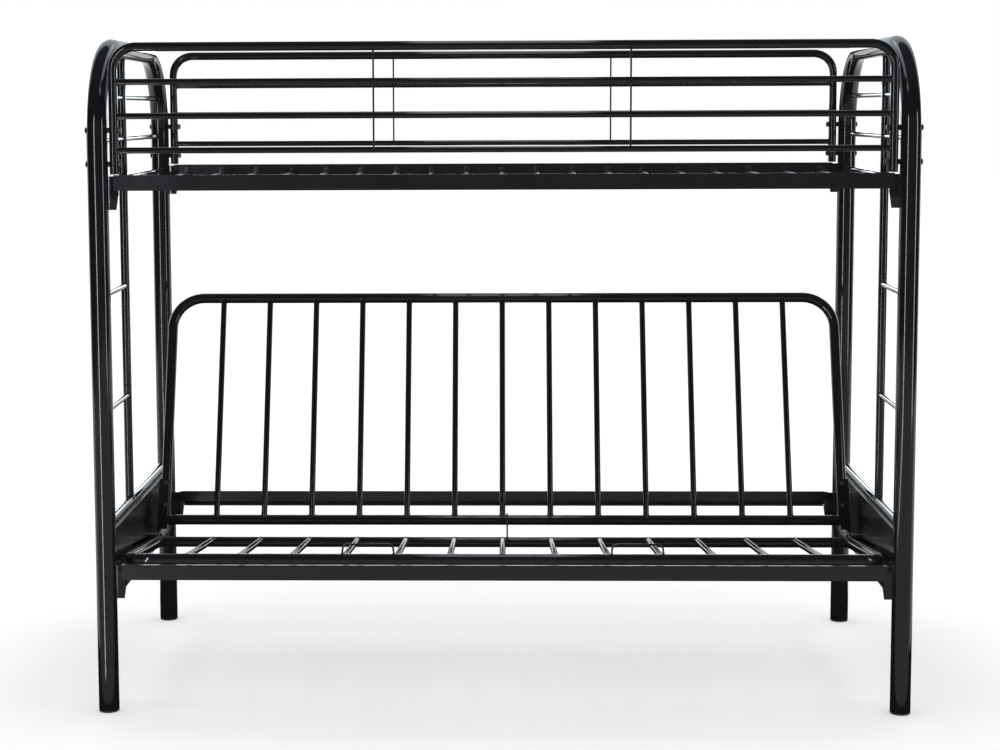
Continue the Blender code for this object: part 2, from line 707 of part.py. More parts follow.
def seat_frame():
    """The seat: a U of tube with a rear tube, parallel bars, two ears and two wire loops."""
    level = Vector((0, 0, -SEAT_DROP))
    corners = (
        (-SEAT_SIDE, -SEAT_SIDE_START), (-SEAT_SIDE, -SEAT_FRONT),
        (SEAT_SIDE, -SEAT_FRONT), (SEAT_SIDE, -SEAT_SIDE_START),
    )
    path = rounded([Vector((x, y, 0)) + level for x, y in corners], SEAT_BEND, SEAT_STEPS)
    rear = (Vector((-SEAT_SIDE, -SEAT_REAR, 0)) + level, Vector((SEAT_SIDE, -SEAT_REAR, 0)) + level)
    pieces = [tube(path, FUTON_TUBE, TUBE_SIDES, Z_AXIS), tube(rear, FUTON_TUBE, TUBE_SIDES, Z_AXIS)]
    pieces += cross_bars(SEAT_REAR, SEAT_FRONT, level + Z_AXIS * FUTON_BAR_RISE, -Y_AXIS)
    pieces += [mattress_loop(-LOOP_PLACE), mattress_loop(LOOP_PLACE)]
    pieces += [ear(EAR_INNER), ear(-EAR_INNER - EAR_SHEET)]
    return cut(weld(*pieces), *pin_bores())


def pin_bores():
    """Cutters for the pins' holes at both ends, about the pivot's axis."""
    near, far = EAR_INNER - CUT_OVERRUN / 2, HINGE_OUTER_X + HINGE_SHEET + CUT_OVERRUN
    bores = []
    for low, high in ((near, far), (-far, -near)):
        bores.append(rod(low, high, PIN_BORE_RADIUS, BOLT_SIDES))
    return bores


def back_frame():
    """The back: an inverted U of tube, a lower tube and parallel bars, bored for the bracket bolts."""
    corners = (
        (-BACK_SIDE, BACK_START), (-BACK_SIDE, BACK_TOP),
        (BACK_SIDE, BACK_TOP), (BACK_SIDE, BACK_START),
    )
    path = rounded([Vector((x, 0, z)) for x, z in corners], BACK_BEND, BACK_STEPS)
    low = (Vector((-BACK_SIDE, 0, BACK_LOW_TUBE)), Vector((BACK_SIDE, 0, BACK_LOW_TUBE)))
    pieces = [tube(path, FUTON_TUBE, TUBE_SIDES, Y_AXIS), tube(low, FUTON_TUBE, TUBE_SIDES, Y_AXIS)]
    pieces += cross_bars(BACK_LOW_TUBE, BACK_TOP, -Y_AXIS * FUTON_BAR_RISE, Z_AXIS)
    return cut(weld(*pieces), *hinge_bolt_bores(-BACK_SIDE), *hinge_bolt_bores(BACK_SIDE))


def hinge_bolt_bores(x):
    """Cutters for the two bracket bolts at one side, square to the back."""
    reach = HINGE_FRONT + CUT_OVERRUN
    bores = []
    for height in (LOWER_HINGE_BOLT, UPPER_HINGE_BOLT):
        bore = rod(-reach, reach, HINGE_BORE_RADIUS, BOLT_SIDES)
        bores.append(shift(turn(bore, 90, "Z"), (x, 0, height)))
    return bores


def hinge_bracket():
    """The right hinge angle: a flange before the back's side tube and a cheek down to the pivot."""
    outer = HINGE_OUTER_X + HINGE_SHEET
    points = half_round(HINGE_RADIUS, 0, -1)
    points += [(-HINGE_FRONT, HINGE_START), (-HINGE_FRONT, HINGE_END)]
    points += [(HINGE_REAR, HINGE_END), (HINGE_REAR, HINGE_START)]
    cheek = prism([Vector((HINGE_OUTER_X, y, z)) for y, z in points], X_AXIS * HINGE_SHEET)
    flange_end = (outer, -HINGE_FRONT + HINGE_SHEET, HINGE_END)
    front = box((outer - HINGE_WIDTH, -HINGE_FRONT, HINGE_START), flange_end)
    pin_bore, mirror_bore = pin_bores()
    bpy.data.objects.remove(mirror_bore)
    return cut(weld(cheek, front), pin_bore, *hinge_bolt_bores(BACK_SIDE))


def hinge_bolt():
    """A dome bolt through a hinge bracket and the back's tube, along +X from its nut to its head."""
    radius = HINGE_BOLT_DIAMETER / 2
    wide = HINGE_BOLT_HEAD / 2
    head = HINGE_FRONT + GAP
    end = -FUTON_RADIUS - GAP
    tip = end - HINGE_NUT_HEIGHT
    profile = [(tip, 0), (tip, wide), (end, wide), (end, radius), (head, radius)]
    return turned(profile + dome(head, HINGE_BOLT_HEAD_HEIGHT, wide), BOLT_SIDES)


def hinge_pin():
    """The right pivot pin: dome head inside, then ear, bracket, sleeve, plate slot, washer and nut."""
    radius = PIN_DIAMETER / 2
    tube_radius = PIN_SLEEVE_DIAMETER / 2
    washer_radius = PIN_WASHER_DIAMETER / 2
    nut_radius = PIN_NUT_DIAMETER / 2
    head = EAR_INNER - GAP
    sleeve = HINGE_OUTER_X + HINGE_SHEET + GAP
    plate = PLATE_PLACE - GAP
    washer = PLATE_PLACE + PLATE_SHEET + GAP
    nut = washer + PIN_WASHER_SHEET
    end = nut + PIN_NUT_HEIGHT
    tip = end + PIN_END
    crown = [(-x, r) for x, r in dome(-head, PIN_HEAD_HEIGHT, PIN_HEAD_DIAMETER / 2)]
    profile = crown[::-1] + [(head, radius), (sleeve, radius), (sleeve, tube_radius)]
    profile += [(plate, tube_radius), (plate, radius), (washer, radius), (washer, washer_radius)]
    profile += [(nut, washer_radius), (nut, nut_radius), (end, nut_radius), (end, radius)]
    return turned(profile + [(tip, radius), (tip, 0)], BOLT_SIDES)


def link_geometry():
    """Angle and length in the Y-Z plane from the back's lower tube to the seat's rear tube, at rest."""
    back = math.radians(BACK_ANGLE_DEG)
    low = Vector((0, BACK_LOW_TUBE * math.cos(back), BACK_LOW_TUBE * math.sin(back)))
    rear = Vector((0, -SEAT_REAR, -SEAT_DROP))
    rear.rotate(Matrix.Rotation(-SEAT_TILT, 3, "X"))
    span = rear - low
    return low, math.atan2(span.z, span.y), span.length


def centre_link():
    """A wire laid over the seat's rear tube and hooked round the back's lower tube, about the origin."""
    _, angle, length = link_geometry()
    ring = FUTON_RADIUS + GAP + LINK_WIRE / 2
    along = Vector((0, math.cos(angle), math.sin(angle)))
    lift = Vector((0, math.sin(angle), -math.cos(angle)))
    path = [along * (length + LINK_OVERHANG) + lift * ring]
    for step in range(LINK_STEPS + 1):
        wrap = math.radians(LINK_WRAP_DEG) * step / LINK_STEPS
        path.append((lift * math.cos(wrap) - along * math.sin(wrap)) * ring)
    return tube(path, LINK_WIRE, WIRE_SIDES, X_AXIS)


def build_fixed_frame():
    """End frames, foot caps, rails, slats, guardrails and their fasteners."""
    both_ends("end_frame", shape_of(end_frame()), BLACK_PAINT)
    cap = shape_of(foot_cap())
    for end, side_x in (("left", -1), ("right", 1)):
        for row, side_y in (("front", -1), ("back", 1)):
            spot = (side_x * LEG_X, side_y * LEG_Y, 0)
            place(f"foot_cap_{row}_{end}", cap, BLACK_PLASTIC, spot, (0, -math.pi / 2, 0))
    rows = (("front", -1, LOWER_FRONT_RAIL_BOTTOM), ("back", 1, LOWER_BACK_RAIL_BOTTOM))
    for row, side_y, lower in rows:
        place(f"upper_rail_{row}", shape_of(side_rail(side_y, UPPER_RAIL_BOTTOM)), BLACK_PAINT)
        place(f"lower_rail_{row}", shape_of(side_rail(side_y, lower)), BLACK_PAINT)
        place(f"guardrail_{row}", shape_of(guardrail(side_y)), BLACK_PAINT)
    slat_mesh = shape_of(slat())
    deck = UPPER_RAIL_BOTTOM + RAIL_SHEET + GAP + SLAT_DIAMETER / 2 / math.cos(math.pi / SLAT_SIDES)
    for index in range(SLAT_COUNT):
        x = (index - (SLAT_COUNT - 1) / 2) * SLAT_PITCH
        place(f"slat_{index + 1:02d}", slat_mesh, BLACK_PAINT, (x, 0, deck))
    bolt, spacer = shape_of(guard_bolt()), shape_of(guard_spacer())
    for end, side_x, heading in (("left", -1, math.pi), ("right", 1, 0)):
        for row, side_y in (("front", -1), ("back", 1)):
            for level, height in zip(("low", "high"), BOLT_HEIGHTS):
                spot = (side_x * LEG_X, side_y * LEG_Y, height)
                place(f"guard_bolt_{row}_{end}_{level}", bolt, BLACK_ZINC, spot, (0, 0, heading))
                place(f"guard_spacer_{row}_{end}_{level}", spacer, BLACK_PLASTIC, spot, (0, 0, heading))


def build_futon():
    """Side plates, seat, back, hinges and link, on empties at the pivot."""
    both_ends("futon_side_plate", shape_of(side_plate()), BLACK_PAINT)
    seat = pivot("seat_slide_axis", (0, PIVOT_Y, PIVOT_HEIGHT), -SEAT_TILT)
    back = pivot("back_hinge_axis", (0, PIVOT_Y, PIVOT_HEIGHT), -BACK_LEAN)
    place("seat_frame", shape_of(seat_frame()), BLACK_PAINT, parent=seat)
    both_ends("hinge_pin", shape_of(hinge_pin()), BLACK_ZINC, parent=seat)
    place("back_frame", shape_of(back_frame()), BLACK_PAINT, parent=back)
    both_ends("hinge_bracket", shape_of(hinge_bracket()), BLACK_PAINT, parent=back)
    bolt = shape_of(hinge_bolt())
    for end, side_x in (("left", -1), ("right", 1)):
        for level, height in (("low", LOWER_HINGE_BOLT), ("high", UPPER_HINGE_BOLT)):
            spot = (side_x * BACK_SIDE, 0, height)
            place(f"bracket_bolt_{end}_{level}", bolt, BLACK_ZINC, spot, (0, 0, -math.pi / 2), parent=back)
    low, _, _ = link_geometry()
    spot = Vector((LINK_PLACE, PIVOT_Y, PIVOT_HEIGHT)) + low
    place("centre_link", shape_of(centre_link()), BLACK_ZINC, spot)


clear_scene()
build_fixed_frame()
build_futon()
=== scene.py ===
# %% [markdown]
# # A black metal bunk bed over a futon
# This lesson dresses a CAD model of a bunk bed. The real bed is bent and welded steel tube under a
# gloss black powder coat, with pressed steel rails and side plates in a softer black. The CAD solids are
# already in place. The lesson gives the tubes their true roundness, their weld beads and cut ends, and each
# surface its finish, and then sets up a plain white studio.
# Starting from the CAD model keeps every piece where the CAD model puts it. Modelling from nothing would risk
# a bed that looks right and fits nowhere.

# %% Load the frame
import bpy
import bmesh
import math
from mathutils import Matrix, Vector


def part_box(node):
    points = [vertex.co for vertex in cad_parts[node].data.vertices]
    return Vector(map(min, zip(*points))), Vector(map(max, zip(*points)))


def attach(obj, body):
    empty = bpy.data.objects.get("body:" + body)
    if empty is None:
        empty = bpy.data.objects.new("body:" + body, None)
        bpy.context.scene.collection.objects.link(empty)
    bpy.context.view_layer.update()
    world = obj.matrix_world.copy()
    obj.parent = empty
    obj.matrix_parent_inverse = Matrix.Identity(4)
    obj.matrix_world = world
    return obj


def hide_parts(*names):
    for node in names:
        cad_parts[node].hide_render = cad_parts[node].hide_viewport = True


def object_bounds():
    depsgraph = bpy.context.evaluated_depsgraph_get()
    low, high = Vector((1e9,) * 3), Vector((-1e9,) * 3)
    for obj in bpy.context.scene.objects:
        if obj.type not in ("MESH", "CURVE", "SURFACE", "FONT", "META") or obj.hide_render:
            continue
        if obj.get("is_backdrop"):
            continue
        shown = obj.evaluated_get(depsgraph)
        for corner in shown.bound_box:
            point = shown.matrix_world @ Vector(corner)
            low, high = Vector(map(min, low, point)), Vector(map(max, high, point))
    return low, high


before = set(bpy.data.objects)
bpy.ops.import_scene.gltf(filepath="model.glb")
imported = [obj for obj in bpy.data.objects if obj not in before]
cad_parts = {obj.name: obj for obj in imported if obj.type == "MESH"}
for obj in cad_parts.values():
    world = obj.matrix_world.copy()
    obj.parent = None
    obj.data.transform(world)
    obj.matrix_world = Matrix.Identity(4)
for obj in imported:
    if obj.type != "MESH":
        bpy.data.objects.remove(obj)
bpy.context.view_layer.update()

# %% [markdown]
# ## The camera
# The photograph was taken from straight in front, a little above the bed's middle, looking slightly down.
# A camera can be placed by eye, or by matching known lengths. The bed's three sizes are known, so this one
# was fitted to its corners. The small shift is there because the picture was cropped off centre.

# %% Camera at the photograph's angle
CAMERA_PLACE = Vector((0.0001, -5.4102, 1.4774))
YAW, PITCH, ROLL = -0.02555, 0.10579, -0.00406
FOCAL_PIXELS, PICTURE_WIDTH, PICTURE_HEIGHT = 2065.71, 1000, 750
CENTRE_PIXEL = (449.80, 326.75)
SENSOR = 36.0


def camera_matrix(place, yaw, pitch, roll):
    """The camera's frame from its place and three angles, yaw to the right and pitch down."""
    ahead = Vector((math.sin(yaw) * math.cos(pitch), math.cos(yaw) * math.cos(pitch), -math.sin(pitch)))
    right = Vector((math.cos(yaw), -math.sin(yaw), 0))
    up = right.cross(ahead)
    rolled_right = right * math.cos(roll) + up * math.sin(roll)
    rolled_up = up * math.cos(roll) - right * math.sin(roll)
    turned_frame = Matrix((rolled_right, rolled_up, -ahead)).transposed().to_4x4()
    return Matrix.Translation(place) @ turned_frame


def add_object(name, data):
    """A new object in the scene."""
    made = bpy.data.objects.new(name, data)
    bpy.context.scene.collection.objects.link(made)
    return made


lens = bpy.data.cameras.new("camera")
lens.sensor_width = SENSOR
lens.lens = FOCAL_PIXELS / PICTURE_WIDTH * SENSOR
lens.shift_x = (PICTURE_WIDTH / 2 - CENTRE_PIXEL[0]) / PICTURE_WIDTH
lens.shift_y = (CENTRE_PIXEL[1] - PICTURE_HEIGHT / 2) / PICTURE_WIDTH
camera = add_object("camera", lens)
camera.matrix_world = camera_matrix(CAMERA_PLACE, YAW, PITCH, ROLL)
bpy.context.scene.camera = camera
print("lens", round(lens.lens, 1), "mm, shift", round(lens.shift_x, 3), round(lens.shift_y, 3))

# %% [markdown]
# ## The studio
# Gloss black shows almost nothing but reflections, so the studio is what draws the tubes. It is a tent
# of black and barely lit cards, open at the back. Bright narrow cards in it draw the thin lines down the
# legs, and two wide lit cards behind the bed draw the grey tops. A soft lamp overhead lights the floor.
# The white background is the world itself, seen by the camera and in reflections. It could be a lit
# cyclorama, but that would need far more light, which would wash out the paint.

# %% Helpers for shader nodes
def fill(tree, socket, value):
    """Gives an input its value: a constant, or another node's output."""
    if isinstance(value, bpy.types.NodeSocket):
        tree.links.new(value, socket)
    else:
        socket.default_value = value


def add_node(tree, kind, *ordered, **named):
    """A new shader node. Its inputs are filled in order or by name, and other names set its properties."""
    node = tree.nodes.new(kind)
    for name, value in named.items():
        socket = node.inputs.get(name.replace("_", " "))
        if socket is None:
            setattr(node, name, value)
        else:
            fill(tree, socket, value)
    for socket, value in zip(node.inputs, ordered):
        fill(tree, socket, value)
    return node


def math_node(tree, operation, *values):
    """The result of a maths node."""
    return add_node(tree, "ShaderNodeMath", *values, operation=operation).outputs[0]


def new_material(name):
    """An empty node material and its tree."""
    material = bpy.data.materials.new(name)
    material.use_nodes = True
    material.node_tree.nodes.clear()
    return material, material.node_tree


def background_rays(tree):
    """1 for camera, glossy and transmission rays, which see the white background, and 0 for the rest."""
    rays = add_node(tree, "ShaderNodeLightPath").outputs
    seen = math_node(tree, "MAXIMUM", rays["Is Camera Ray"], rays["Is Glossy Ray"])
    return math_node(tree, "MAXIMUM", seen, rays["Is Transmission Ray"])


print("shader helpers ready")

# %% World: white to look at, plain as a light
WHITE, WORLD_LIGHT = (1, 1, 1, 1), 0.55

world = bpy.data.worlds.new("white_studio")
world.use_nodes = True
tree = world.node_tree
tree.nodes.clear()
seen = add_node(tree, "ShaderNodeBackground", Color=WHITE, Strength=1.0)
lit = add_node(tree, "ShaderNodeBackground", Color=WHITE, Strength=WORLD_LIGHT)
choose = add_node(tree, "ShaderNodeMixShader", background_rays(tree), lit.outputs[0], seen.outputs[0])
add_node(tree, "ShaderNodeOutputWorld", Surface=choose.outputs[0])
bpy.context.scene.world = world
bpy.context.scene.view_settings.view_transform = "Standard"
print("world light", WORLD_LIGHT)

# %% [markdown]
# The floor is pale paint that keeps the bed's soft shadow. Its own faint glow, seen by the camera and in
# reflections only, rises as the lamp's light falls away, so that the floor stays as pale far off as near.

# %% Floor
FLOOR_HALF = 40.0
FLOOR_PAINT = (0.86, 0.86, 0.86, 1)
LAMP_HEIGHT, LAMP_SHARE, FAR_GLOW = 4.2, 0.37, 0.62


def level_corners(x_low, x_high, y_low, y_high, z):
    """The corners of a sheet that lies flat."""
    return [(x_low, y_low, z), (x_high, y_low, z), (x_high, y_high, z), (x_low, y_high, z)]


def studio_sheet(name, corners, material):
    """A flat sheet of the studio."""
    mesh = bpy.data.meshes.new(name)
    mesh.from_pydata(corners, [], [tuple(range(len(corners)))])
    mesh.materials.append(material)
    return add_object(name, mesh)


material, tree = new_material("studio_floor")
paint = add_node(tree, "ShaderNodeBsdfDiffuse", Color=FLOOR_PAINT)
place = add_node(tree, "ShaderNodeNewGeometry").outputs["Position"]
squared = add_node(tree, "ShaderNodeVectorMath", place, place, operation="DOT_PRODUCT")
spread = math_node(tree, "MULTIPLY_ADD", squared.outputs["Value"], 1 / LAMP_HEIGHT ** 2, 1)
lamplight = math_node(tree, "POWER", spread, -2)
level = math_node(tree, "MULTIPLY_ADD", lamplight, -LAMP_SHARE, FAR_GLOW)
strength = math_node(tree, "MULTIPLY", level, background_rays(tree))
glow = add_node(tree, "ShaderNodeEmission", Color=WHITE, Strength=strength)
both = add_node(tree, "ShaderNodeAddShader", paint.outputs[0], glow.outputs[0])
add_node(tree, "ShaderNodeOutputMaterial", Surface=both.outputs[0])
floor = studio_sheet("studio_floor", level_corners(-FLOOR_HALF, FLOOR_HALF, -FLOOR_HALF, FLOOR_HALF, 0), material)
floor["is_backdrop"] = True
print("floor", 2 * FLOOR_HALF, "m across")

# %% [markdown]
# The cards show in reflections only, so they hide nothing and shade nothing. Black felt makes the tubes
# black, and lit diffusers make the light lines. A real studio would hang the same cards on stands.

# %% Helpers: cards
BACKDROP_TINT, FELT, FRONT_TINT = (0.86, 0.95, 1.0, 1), (0.004, 0.004, 0.005, 1), (1.0, 0.98, 0.98, 1)


def card(name, corners, glow=0.0, colour=BACKDROP_TINT):
    """A flat card seen only in reflections: black felt, or a lit diffuser where glow is given."""
    material, tree = new_material(name)
    if glow:
        face = add_node(tree, "ShaderNodeEmission", Color=colour, Strength=glow)
    else:
        face = add_node(tree, "ShaderNodeBsdfDiffuse", Color=FELT)
    add_node(tree, "ShaderNodeOutputMaterial", Surface=face.outputs[0])
    made = studio_sheet(name, corners, material)
    made.visible_camera = made.visible_diffuse = made.visible_shadow = False
    made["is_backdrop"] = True


def upright(x, y, half, low, high, toward=(0, 0)):
    """The corners of an upright card whose width lies across the line to a point on the floor."""
    aim = (Vector((toward[0], toward[1], 0)) - Vector((x, y, 0))).normalized()
    side = Vector((-aim.y, aim.x, 0)) * half
    foot, head = Vector((x, y, low)), Vector((x, y, high))
    return [foot - side, foot + side, head + side, head - side]


def wedge(x, y, heading, half_angle, near, far, z):
    """The corners of a floor strip that widens away from a leg, so that it looks equally wide all along."""
    left, right = [Vector((math.sin(heading + turn), -math.cos(heading + turn), 0))
                   for turn in (-half_angle, half_angle)]
    foot = Vector((x, y, z))
    return [foot + left * near, foot + right * near, foot + right * far, foot + left * far]


print("card helpers ready")

# %% The tent round the bed
TENT_SIDE, TENT_FRONT, TENT_TOP, TENT_BACK = 7.0, -9.0, 4.5, 2.4
BED_FRONT, BED_BACK, FLOOR_LIFT = -0.55, 0.7, 0.004
UNDER_HALF, PLATE_CARD_X, PLATE_CARD_HALF, PLATE_CARD_FAR = 1.6, 0.65, 0.5, 3.8
FRONT_GLOW, FRONT_FLOOR_GLOW = 0.1, 0.4

card("front_card", upright(0, TENT_FRONT, TENT_SIDE, 0, TENT_TOP), FRONT_GLOW)
card("top_card", level_corners(-TENT_SIDE, TENT_SIDE, TENT_FRONT, TENT_BACK, TENT_TOP))
card("floor_card_front", level_corners(-TENT_SIDE, TENT_SIDE, TENT_FRONT, BED_FRONT, FLOOR_LIFT),
     FRONT_FLOOR_GLOW, FRONT_TINT)
card("floor_card_under", level_corners(-UNDER_HALF, UNDER_HALF, BED_FRONT, BED_BACK, FLOOR_LIFT))
for name, x in (("plate_card_left", -PLATE_CARD_X), ("plate_card_right", PLATE_CARD_X)):
    card(name, level_corners(x - PLATE_CARD_HALF, x + PLATE_CARD_HALF, BED_BACK, PLATE_CARD_FAR, FLOOR_LIFT))
middle, depth = (TENT_FRONT + TENT_BACK) / 2, (TENT_BACK - TENT_FRONT) / 2
for name, x in (("side_card_left", -TENT_SIDE), ("side_card_right", TENT_SIDE)):
    card(name, upright(x, middle, depth, 0, TENT_TOP, (0, middle)))
print("tent", 2 * TENT_SIDE, "m wide and", 2 * depth, "m deep")

# %% The bright cards
LEFT_STRIP, RIGHT_STRIP, LEFT_LEG = (-2.5, -4.4), (5.5, -3.0), (-0.971, -0.46)
STRIP_TOP, LEFT_HALF, RIGHT_HALF = 3.2, 0.17, 0.4
LEFT_GLOW, RIGHT_GLOW, SKY_GLOW, DECK_GLOW, CENTRE_GLOW = 18.0, 8.0, 0.95, 5.0, 2.2
BACKDROP_Y, BACKDROP_HALF, DECK_LOW, SKY_LOW, SKY_HIGH = 7.0, 9.0, 1.45, 2.4, 9.0
WEDGE_ANGLE, WEDGE_NEAR, WEDGE_FAR, WEDGE_LIFT = math.radians(2.3), 0.3, 4.2, 0.01
CENTRE_HALF, CENTRE_FRONT, CENTRE_BACK, CENTRE_HEIGHT = 0.3, -1.6, 2.6, 3.1

card("left_strip", upright(*LEFT_STRIP, LEFT_HALF, 0.0, STRIP_TOP), LEFT_GLOW)
card("right_strip", upright(*RIGHT_STRIP, RIGHT_HALF, 0.0, STRIP_TOP), RIGHT_GLOW)
heading = math.atan2(LEFT_STRIP[0] - LEFT_LEG[0], LEFT_LEG[1] - LEFT_STRIP[1])
card("floor_strip", wedge(*LEFT_LEG, heading, WEDGE_ANGLE, WEDGE_NEAR, WEDGE_FAR, WEDGE_LIFT), LEFT_GLOW)
card("sky_card", upright(0, BACKDROP_Y, BACKDROP_HALF, SKY_LOW, SKY_HIGH), SKY_GLOW)
card("deck_card", upright(0, BACKDROP_Y, BACKDROP_HALF, DECK_LOW, SKY_LOW), DECK_GLOW)
card("centre_softbox", level_corners(-CENTRE_HALF, CENTRE_HALF, CENTRE_FRONT, CENTRE_BACK, CENTRE_HEIGHT),
     CENTRE_GLOW)

# %% The lamp that lights the room
LAMP_WIDTH, LAMP_DEPTH, LAMP_Y, LAMP_WATTS, LAMP_COLOUR = 5.0, 3.6, 0.3, 90, (0.96, 0.98, 1.0)

lamp_data = bpy.data.lights.new("overhead_softbox", "AREA")
lamp_data.shape = "RECTANGLE"
lamp_data.size, lamp_data.size_y = LAMP_WIDTH, LAMP_DEPTH
lamp_data.energy = LAMP_WATTS
lamp_data.color = LAMP_COLOUR
softbox = add_object("overhead_softbox", lamp_data)
softbox.location = (0, LAMP_Y, LAMP_HEIGHT)
softbox.visible_camera = softbox.visible_glossy = False
print("softbox", lamp_data.energy, "W")

# %% [markdown]
# ## The black finishes
# Powder coat is baked plastic dust. It flows into a gloss skin with a faint orange peel, two or three
# millimetres from hill to hill, and it lies a little thicker and duller in some places than in others.
# That could be painted as pictures, but noise in metres has the right scale on every piece and needs no
# unwrapping. One node group makes the peel, the cloudy change and a trace of dust on upper sides, and each
# material sets its own amounts.

# %% Node group: powder coat skin
def new_group(name, inputs, outputs):
    """A shader node group with named number or colour sockets."""
    group = bpy.data.node_groups.new(name, "ShaderNodeTree")
    for label, kind in inputs:
        group.interface.new_socket(label, in_out="INPUT", socket_type=kind)
    for label, kind in outputs:
        group.interface.new_socket(label, in_out="OUTPUT", socket_type=kind)
    return group, add_node(group, "NodeGroupInput"), add_node(group, "NodeGroupOutput")


def noise(tree, where, scale, detail=2.0, rough=0.5):
    """Noise between 0 and 1 at a scale in waves per metre."""
    return add_node(tree, "ShaderNodeTexNoise", Vector=where, Scale=scale, Detail=detail,
                    Roughness=rough).outputs["Fac"]


NUMBER, COLOUR = "NodeSocketFloat", "NodeSocketColor"
CLOUD_SCALE, STREAK_SCALE, SPECKLE_SCALE, GRIT_SCALE = 9.0, 46.0, 700.0, 2600.0
CLOUD_SHARE, GRIT_SHARE, DUST_SLOPE = 1.4, 0.12, 0.55

coat_skin, start, end = new_group(
    "coat_skin",
    [("Colour", COLOUR), ("Dust Colour", COLOUR), ("Dust", NUMBER), ("Peel Scale", NUMBER),
     ("Roughness", NUMBER), ("Cloudiness", NUMBER)],
    [("Colour", COLOUR), ("Roughness", NUMBER), ("Height", NUMBER)],
)
where = add_node(coat_skin, "ShaderNodeTexCoord").outputs["Object"]
clouds = noise(coat_skin, where, CLOUD_SCALE, 3.0)
streaks = noise(coat_skin, where, STREAK_SCALE, 4.0, 0.6)
peel = noise(coat_skin, where, start.outputs["Peel Scale"], 1.5)
grit = noise(coat_skin, where, GRIT_SCALE)
speckle = noise(coat_skin, where, SPECKLE_SCALE, 3.0, 0.7)
cloud_swing = math_node(coat_skin, "SUBTRACT", clouds, 0.5)
streak_swing = math_node(coat_skin, "SUBTRACT", streaks, 0.5)
uneven = math_node(coat_skin, "MULTIPLY_ADD", cloud_swing, CLOUD_SHARE, streak_swing)
rough = math_node(coat_skin, "MULTIPLY_ADD", uneven, start.outputs["Cloudiness"], start.outputs["Roughness"])
height = math_node(coat_skin, "MULTIPLY_ADD", grit, GRIT_SHARE, peel)
normal = add_node(coat_skin, "ShaderNodeNewGeometry").outputs["Normal"]
facing = add_node(coat_skin, "ShaderNodeSeparateXYZ", normal)
top_side = add_node(coat_skin, "ShaderNodeMapRange", facing.outputs["Z"], DUST_SLOPE,
                    interpolation_type="SMOOTHSTEP")
patches = math_node(coat_skin, "MULTIPLY", speckle, streaks)
lying = math_node(coat_skin, "MULTIPLY", patches, start.outputs["Dust"])
dusty = math_node(coat_skin, "MULTIPLY", top_side.outputs["Result"], lying)
mix = add_node(coat_skin, "ShaderNodeMix", data_type="RGBA")
for output, socket in ((dusty, mix.inputs["Factor"]), (start.outputs["Colour"], mix.inputs["A"]),
                       (start.outputs["Dust Colour"], mix.inputs["B"]), (mix.outputs["Result"], end.inputs["Colour"]),
                       (rough, end.inputs["Roughness"]), (height, end.inputs["Height"])):
    coat_skin.links.new(output, socket)
print("group", coat_skin.name, "with", len(coat_skin.nodes), "nodes")

# %% Materials from the group
DUST_COLOUR = (0.16, 0.155, 0.15, 1)


def coated(name, colour, roughness, peel_scale, peel_depth, cloudiness, dust, ior=1.5):
    """A finish: the coat group feeds one Principled shader and its bump."""
    material, tree = new_material(name)
    skin = add_node(tree, "ShaderNodeGroup", node_tree=coat_skin, Colour=(*colour, 1), Dust_Colour=DUST_COLOUR,
                    Dust=dust, Peel_Scale=peel_scale, Roughness=roughness, Cloudiness=cloudiness).outputs
    bump = add_node(tree, "ShaderNodeBump", Distance=peel_depth, Strength=1.0, Height=skin["Height"])
    shader = add_node(tree, "ShaderNodeBsdfPrincipled", IOR=ior, Base_Color=skin["Colour"],
                      Roughness=skin["Roughness"], Normal=bump.outputs["Normal"])
    add_node(tree, "ShaderNodeOutputMaterial", Surface=shader.outputs[0])
    return material


# The numbers: roughness, peel in waves per metre, peel depth in metres, cloudiness, dust and, for some, the
# refractive index.
gloss_tube = coated("gloss_black_tube", (0.012, 0.0118, 0.0145), 0.09, 420.0, 0.000005, 0.03, 0.12)
satin_slat = coated("satin_black_slat", (0.012, 0.0118, 0.0145), 0.36, 420.0, 0.000005, 0.03, 0.12)
satin_rail = coated("satin_black_rail", (0.0165, 0.0155, 0.0195), 0.19, 700.0, 0.000005, 0.08, 0.15)
satin_plate = coated("satin_black_plate", (0.0115, 0.0115, 0.0125), 0.22, 400.0, 0.000002, 0.08, 0.15)
weld_bead = coated("coated_weld_bead", (0.016, 0.0156, 0.0185), 0.13, 900.0, 0.00012, 0.1, 0.1)
# The bolts, pins and rivets are black, but their colour is made lighter than the tubes' as a painted highlight that
# stands in for the glints on their small domes.
bolt_paint_with_painted_glint = coated("black_coated_bolt_painted_glint", (0.03, 0.03, 0.033), 0.25, 1500.0, 0.00001, 0.1, 0.1, 1.6)
black_plastic = coated("black_plastic", (0.014, 0.014, 0.015), 0.48, 1200.0, 0.00005, 0.1, 0.2, 1.46)
matt_wire = coated("matt_black_wire", (0.008, 0.0079, 0.009), 0.5, 900.0, 0.000004, 0.08, 0.05, 1.3)
print("finishes:", [m.name for m in bpy.data.materials if m.use_nodes])

# %% [markdown]
# ## Tubes and weld beads
# Every frame of the bed is round steel tube, cut, bent and welded. A Curve object with a bevel makes a
# quick tube, but its rings can't be opened at a cut end, and beads can't be joined to it. Sweeping rings
# of points along a path in mesh code gives both, at the cost of one short helper.
# A weld bead is a small ring of melted steel that follows the saddle where one tube meets another. Its
# ripples come from the welder's steps. It is swept round the true meeting line of the two tubes.

# %% Helpers: bent paths and swept tubes
def bent(corners, radius, steps=14):
    """Points along straight runs whose corners are bent to a radius."""
    path = [corners[0]]
    for before, corner, after in zip(corners, corners[1:], corners[2:]):
        run_in = (corner - before).normalized()
        run_out = (after - corner).normalized()
        turn = run_in.angle(run_out)
        inward = (run_out - run_in * math.cos(turn)).normalized()
        centre = corner - run_in * radius * math.tan(turn / 2) + inward * radius
        for step in range(steps + 1):
            angle = turn * step / steps
            path.append(centre + (run_in * math.sin(angle) - inward * math.cos(angle)) * radius)
    return path + [corners[-1]]


